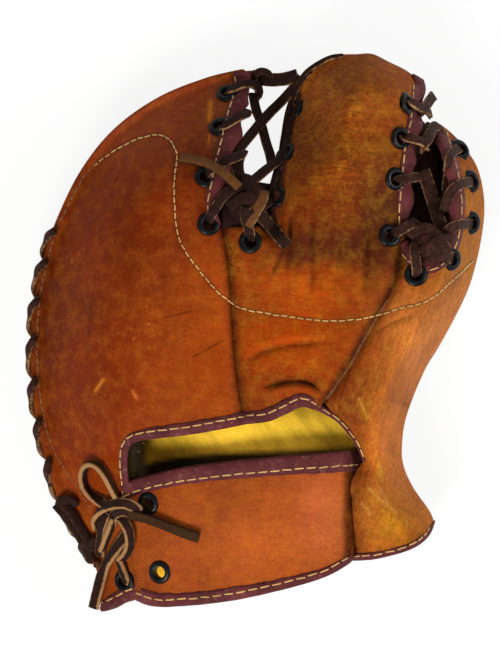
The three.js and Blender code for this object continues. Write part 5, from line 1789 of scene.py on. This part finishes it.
RIGHT_LACES = {
    "web_1": (5.0, [
        (406, 102, -3), (411, 104, 2.8), (418, 108, 4.4), (426, 111, 3.8), (430, 114, -1), (427, 117, -7),
    ]),
    "web_1_stub": (5.6, [(419, 113, 2.5), (425, 107, 4.8), (430, 100, 5), (433, 96, 4.6)]),
    "web_2": (5.0, [
        (401, 138, -3), (406, 139, 2.8), (414, 141, 4.2), (421, 144, 3.6), (425, 148, -1), (421, 151, -7),
    ]),
    "top_loop": (5.6, [
        (420, 147, 2.5), (426, 141, 4.4), (430, 133, 4.6), (434, 127, 4.4), (439, 129, 3.4), (439, 138, -2),
    ]),
    "web_3": (5.0, [
        (395, 182, -3), (400, 181, 2.8), (407, 180, 4), (413, 178.5, 3), (416, 178, -3), (412, 178, -9),
    ]),
    "web_4": (5.0, [(392, 236, -3), (398, 232, 2.8), (405, 228, 4), (411, 224.5, 3), (415, 222, -3)]),
    "thumb_1": (5.0, [(461, 148, -2), (456, 150, 3), (450, 155, 4.4), (447, 163, 3), (446, 172, -2)]),
    "thumb_2": (5.2, [
        (474, 182, -2), (466, 183, 3), (457, 186, 4.6), (450, 192, 3.8), (446, 201, 1), (443, 212, -2),
    ]),
    "thumb_3": (5.2, [(471, 224, -2), (464, 225, 3), (456, 226, 4.6), (449, 229, 3.8), (445, 235, 1)]),
    "thumb_4": (5.2, [(450, 262, -2), (447, 256, 3), (444, 249, 5), (440, 243, 4.4)]),
    "crotch": (5.2, [(415, 277, -3), (415, 271, 2.8), (414, 262, 4), (413, 253, 4), (414, 244, 2)]),
    "hanging": (7.0, [
        (422, 171, -6), (427, 186, -6), (432, 202, -5), (437, 219, -3), (441, 233, -0.5), (443, 241, 1),
    ]),
    "hanging_b": (6.0, [(449, 170, -8), (446, 190, -9), (444, 206, -8), (442, 222, -5), (442, 236, -1)]),
    # The two gap bands are wide dark lace laid deep in the gap as painted shade.
    "gap_web": (18.0, [
        (423, 124, -13), (422, 150, -16), (421, 190, -18), (420, 225, -16), (420, 262, -12),
    ]),
    "gap_thumb": (18.0, [(440, 130, -15), (443, 160, -19), (444, 200, -21), (438, 256, -14)]),
    "knot_a": (5.6, [
        (409, 238, 0), (414, 232, 3), (422, 229, 4.6), (430, 231, 5), (436, 237, 5), (444, 240, 4),
        (451, 235, 2),
    ]),
    "knot_b": (6.5, [(417, 243, 2), (424, 240, 5), (432, 243, 6.6), (439, 249, 6), (446, 252, 3.4)]),
    "knot_c": (6.5, [(420, 254, 3), (427, 249, 6.6), (435, 243, 7.6), (443, 241, 5), (449, 244, 2)]),
    "knot_d": (6.0, [(412, 228, -3), (416, 238, 0), (424, 250, 3), (434, 256, 4), (444, 254, 3)]),
    "knot_e": (7.0, [(422, 259, 2.6), (431, 256, 5), (440, 254, 5.4), (447, 259, 3)]),
}


def cut_edge(name):
    """How much of a web lace's pale cut edge shows: none on the wide dark bands laid deep in the gap as
    painted shade, and less on the knots.
    """
    return 0.0 if "gap" in name else 0.55 if "knot" in name else 1.0


class MITT_OT_web_laces(bpy.types.Operator):
    """Laces of the two web gaps, with their knots and tails, and wide dark bands of painted shade deep in the
    gaps
    """
    bl_idname = "mitt.web_laces"
    bl_label = "Web laces"

    def execute(self, context):
        left = joined("left_web_lacing", [
            skin_lace("left_" + n, points, back_face, width, cut=cut_edge(n))
            for n, (width, points) in LEFT_LACES.items()
        ])
        stand_in(left, True, "lace", "left_web_lace")
        # The gap bands, painted shade deep in the gap, keep the darker lace and no pale edge.
        right = joined("right_web_lacing", [
            skin_lace(
                "right_" + n, points, dome, width, None, "lace" if "gap" in n else "worn_lace", cut_edge(n))
            for n, (width, points) in RIGHT_LACES.items()
        ])
        stand_in(right, True, "lace", "right_web_lace")
        free_lace("left_web_tail", LEFT_TAIL, back_face, size("lace_width"), "lace", 0.5)
        return {"FINISHED"}


# Where the rim lace goes in, in the photograph's pixels, and one turn of it from hole to hole: share of the
# way, how far in from the edge in mm, and height as a share of half the edge.
RIM_HOLES = [
    (93, 566), (86, 540), (70, 503), (49, 462), (37, 422), (31, 382), (31, 340), (34, 300), (41, 262),
    (54, 230),
]
RIM_TURN = [
    (0, 1.4, 1.15), (0.05, 1.8, 0), (0.12, 1.2, -1.0), (0.26, -0.7, -0.9), (0.45, -1.3, -0.3),
    (0.65, -1.3, 0.3), (0.82, -0.8, 0.9), (0.92, 0.4, 1.25), (1, 1.4, 1.15),
]
RIM_LACE_THICK = 2.4
RIM_LACE_RISE = 1.6
RIM_LACE_LEAN = 2.4


class MITT_OT_rim_lace(bpy.types.Operator):
    """Lace whipped round the finger edge"""
    bl_idname = "mitt.rim_lace"
    bl_label = "Rim lace"

    def execute(self, context):
        rim = spline(FINGER_RIM, 0.5)
        holes = [np.argmin(np.hypot(*(rim - hole).T)) for hole in from_photo(RIM_HOLES)]
        run, inset, height = np.transpose(RIM_TURN)
        turn = np.concatenate([i + run[:-1] for i in range(len(holes) - 1)] + [[len(holes) - 1]])
        place = np.interp(turn, np.arange(len(holes)), holes)
        inward = np.interp(turn % 1, run, inset)
        flange = BACK_HIDE + PALM_HIDE + 2 * LAYER_GAP + FOOT_SINK
        rise = np.interp(turn % 1, run, height) * (flange / 2 + RIM_LACE_RISE)
        beside_rim = np.column_stack([rim, -left_of(rim)])
        index = np.arange(len(rim))
        at_and_into = np.column_stack([np.interp(place, index, column) for column in beside_rim.T])
        at, into = at_and_into[:, :2], at_and_into[:, 2:]
        centre = np.column_stack([at + into * inward[:, None], RIM_HEIGHT - flange / 2 + rise])
        outward = unit(np.column_stack([into * (inward - RIM_LACE_LEAN)[:, None], rise]))
        made = lace(
            "rim_lacing", centre, size("rim_lace"), RIM_LACE_THICK, finish("worn_lace"), outward, cut=0.8)
        stand_in(made, False, "lace", "rim_lace")
        return {"FINISHED"}


def wrist_face(xy):
    """What lies under the bow: the heel of the finger hide, or the strap beyond its slanting left end."""
    end = np.interp(xy[:, 1], [-138, -83], [-62, -70])
    on_strap = smooth(xy[:, 0] - end, -1, 4) * (xy[:, 1] < -80)
    return back_face(xy) * (1 - on_strap) + strap_skin(xy) * on_strap


# The bow and the end of the rim lace, in the photograph's pixels, with rise in mm and roll in degrees.
BOW = {
    "loop": [
        (120, 503, 3, 40), (116, 494, 5, 66), (112, 485, 6.2, 74), (106.5, 474.5, 6.6, 80),
        (100, 466, 6.4, 86), (93, 462.8, 6, 90), (86.4, 466, 5.6, 94), (83.4, 475, 5.4, 98),
        (85, 485, 5.4, 100), (90, 493, 5.8, 96), (98, 499, 6.2, 70), (106, 504, 6, 30),
    ],
    "knot_band": [
        (97, 527, 3.4, 96), (96, 518, 5.6, 88), (101, 509, 7.8, 56), (111, 504, 9, 44), (123, 502, 9, 38),
        (133, 504, 7.4, 30), (139, 508, 4.6, 10),
    ],
    "lower_loop": [
        (119, 514, 5, 40), (125, 521, 7.4, 58), (129.6, 531, 8.6, 62), (130.6, 543, 8, 64),
        (127, 553, 6.6, 66), (121, 559, 4.8, 66),
    ],
    "flesh_strip": [(115, 517, 5.6, 90), (111, 528, 7, 90), (107, 538, 6.8, 90), (102.5, 549, 5, 90)],
    "upright": [(108, 512, 4, -10), (103, 526, 5.4, -14), (101, 540, 5.4, -10), (100, 555, 3.6, 0)],
    "heel_strand": [
        (126, 583, -3, 0), (125.4, 578, 2.4, 10), (122.6, 569, 4, 24), (118.6, 558, 5, 30),
        (116, 547, 5, 30),
    ],
    "knot_core": [(112, 524, 3, 0), (115, 514, 6.2, 10), (123, 510, 7.4, 5), (132, 512, 5, 0)],
}
RIM_END = {
    "strand": [
        (58, 500, 0.5, 0), (66, 505, 4, 10), (73, 515, 4.6, 16), (80, 527, 4.2, 16), (88, 540, 3.8, 10),
        (93, 552, 3, 0),
    ],
    "strand_low": [
        (56, 505, 0, 0), (63, 513, 2.6, 0), (71, 523, 2.6, 6), (79, 536, 2.6, 6), (86, 548, 2.2, 6),
        (92, 562, 1.6, 0),
    ],
    "turn": [(59, 506, 1.6, 0), (65, 500, 5, 0), (72, 500, 5.6, 0), (77, 505, 3.4, 0)],
    "turn_low": [(87, 551, 2, 0), (90, 544, 5, 0), (95, 540, 5.4, 0), (99, 541, 3, 0)],
}
BOW_TAIL_RIGHT = [
    (122, 511, 6.4, 170), (134, 514, 5.6, 176), (152, 519, 4, 180), (168, 525, 3.4, 180),
    (184, 531, 3, 180), (199, 536, 2.8, 180),
]
BOW_TAIL_DOWN = [
    (128, 532, 3.6, 0), (122, 540, 6, -14), (115, 550, 7.2, -26), (107.4, 562, 6.8, -32),
    (102, 575, 5.8, -36), (98.4, 588, 4.8, -38), (95.6, 599, 4, -36), (93.8, 608, 3, -34),
]


class MITT_OT_wrist_lace(bpy.types.Operator):
    """Bow that ties the wrist strap to the heel"""
    bl_idname = "mitt.wrist_lace"
    bl_label = "Wrist lace"

    def execute(self, context):
        knot = [skin_lace("bow_" + n, p, wrist_face, 5.4, 2.4, "bow") for n, p in BOW.items()]
        knot += [skin_lace("rim_end_" + n, p, wrist_face, 4.6, 2.2, cut=0.7) for n, p in RIM_END.items()]
        stand_in(joined("wrist_bow", knot), False, "lace", "wrist_lace")
        free_lace("bow_tail_right", BOW_TAIL_RIGHT, wrist_face, 5.6, "bow", 0.3)
        free_lace("bow_tail_down", BOW_TAIL_DOWN, wrist_face, 6.2, "bow", 1.0)
        return {"FINISHED"}


# The camera, in metres and in the photograph's pixels, and the lamps: place, size and power.
CAMERA_HEIGHT = 5.0
FRAME_MIDDLE = (250.0, 333.5)
FRAME_PIXELS_HIGH = 667
SHARP_HEIGHT = 0.028
SENSOR = 36
FLOOR_HALF = 4
SKY_LEVEL = 0.4
LAMPS = {"key": ((-0.4, -0.95, 1.15), 0.6, 20.0), "side": ((1.1, 0.05, 0.75), 0.6, 9.0)}


class MITT_OT_stage(bpy.types.Operator):
    """Pale floor, soft light and the camera straight above"""
    bl_idname = "mitt.stage"
    bl_label = "Stage"

    def execute(self, context):
        scene = context.scene
        corners = [(x * FLOOR_HALF, y * FLOOR_HALF, 0) for x, y in ((-1, -1), (1, -1), (1, 1), (-1, 1))]
        floor = mesh_object("floor", corners, [], [(0, 1, 2, 3)])
        floor.data.materials.append(white_paper())
        world = bpy.data.worlds.new("studio")
        world.use_nodes = True
        scene.world = world
        sky = world.node_tree.nodes["Background"]
        sky.inputs["Color"].default_value = (1, 1, 1, 1)
        sky.inputs["Strength"].default_value = SKY_LEVEL
        for name, (place, disk, power) in LAMPS.items():
            lamp = bpy.data.lights.new(name, "AREA")
            lamp.shape = "DISK"
            lamp.size = disk
            lamp.energy = power
            made = new_object(name, lamp)
            made.location = place
            made.rotation_euler = (-Vector(place)).to_track_quat("-Z", "Y").to_euler()
        lens = bpy.data.cameras.new("camera")
        lens.sensor_fit = "VERTICAL"
        lens.sensor_height = SENSOR
        lens.lens = SENSOR * (CAMERA_HEIGHT - SHARP_HEIGHT) / (FRAME_PIXELS_HIGH * MM_PER_PIXEL * MM)
        lens.clip_end = 20
        camera = new_object("camera", lens)
        middle = (from_photo([FRAME_MIDDLE])[0] + SHIFT) * MM
        camera.location = (middle[0], middle[1], CAMERA_HEIGHT)
        scene.camera = camera
        scene.view_settings.view_transform = "Standard"
        return {"FINISHED"}


STEPS = [
    MITT_OT_stage, MITT_OT_wrist_lace, MITT_OT_web_laces, MITT_OT_rim_lace, MITT_OT_back_hides,
    MITT_OT_palm, MITT_OT_felt, MITT_OT_lining, MITT_OT_strap, MITT_OT_bindings, MITT_OT_eyelets,
    MITT_OT_stitches,
]


class MITT_PT_panel(bpy.types.Panel):
    """Steps of the mitt"""
    bl_idname = "MITT_PT_panel"
    bl_label = "First base mitt"
    bl_space_type = "VIEW_3D"
    bl_region_type = "UI"
    bl_category = "Mitt"

    def draw(self, context):
        for step in STEPS:
            self.layout.operator(step.bl_idname)


CLASSES = [MittSizes, MittColours, *STEPS, MITT_PT_panel]


def register():
    for each in CLASSES:
        bpy.utils.register_class(each)
    bpy.types.Scene.mitt_sizes = PointerProperty(type=MittSizes)
    bpy.types.Scene.mitt_colours = PointerProperty(type=MittColours)


def unregister():
    del bpy.types.Scene.mitt_colours
    del bpy.types.Scene.mitt_sizes
    for each in reversed(CLASSES):
        bpy.utils.unregister_class(each)


def main():
    register()
    for step in STEPS:
        group, action = step.bl_idname.split(".")
        getattr(getattr(bpy.ops, group), action)()


if __name__ == "__main__":
    main()
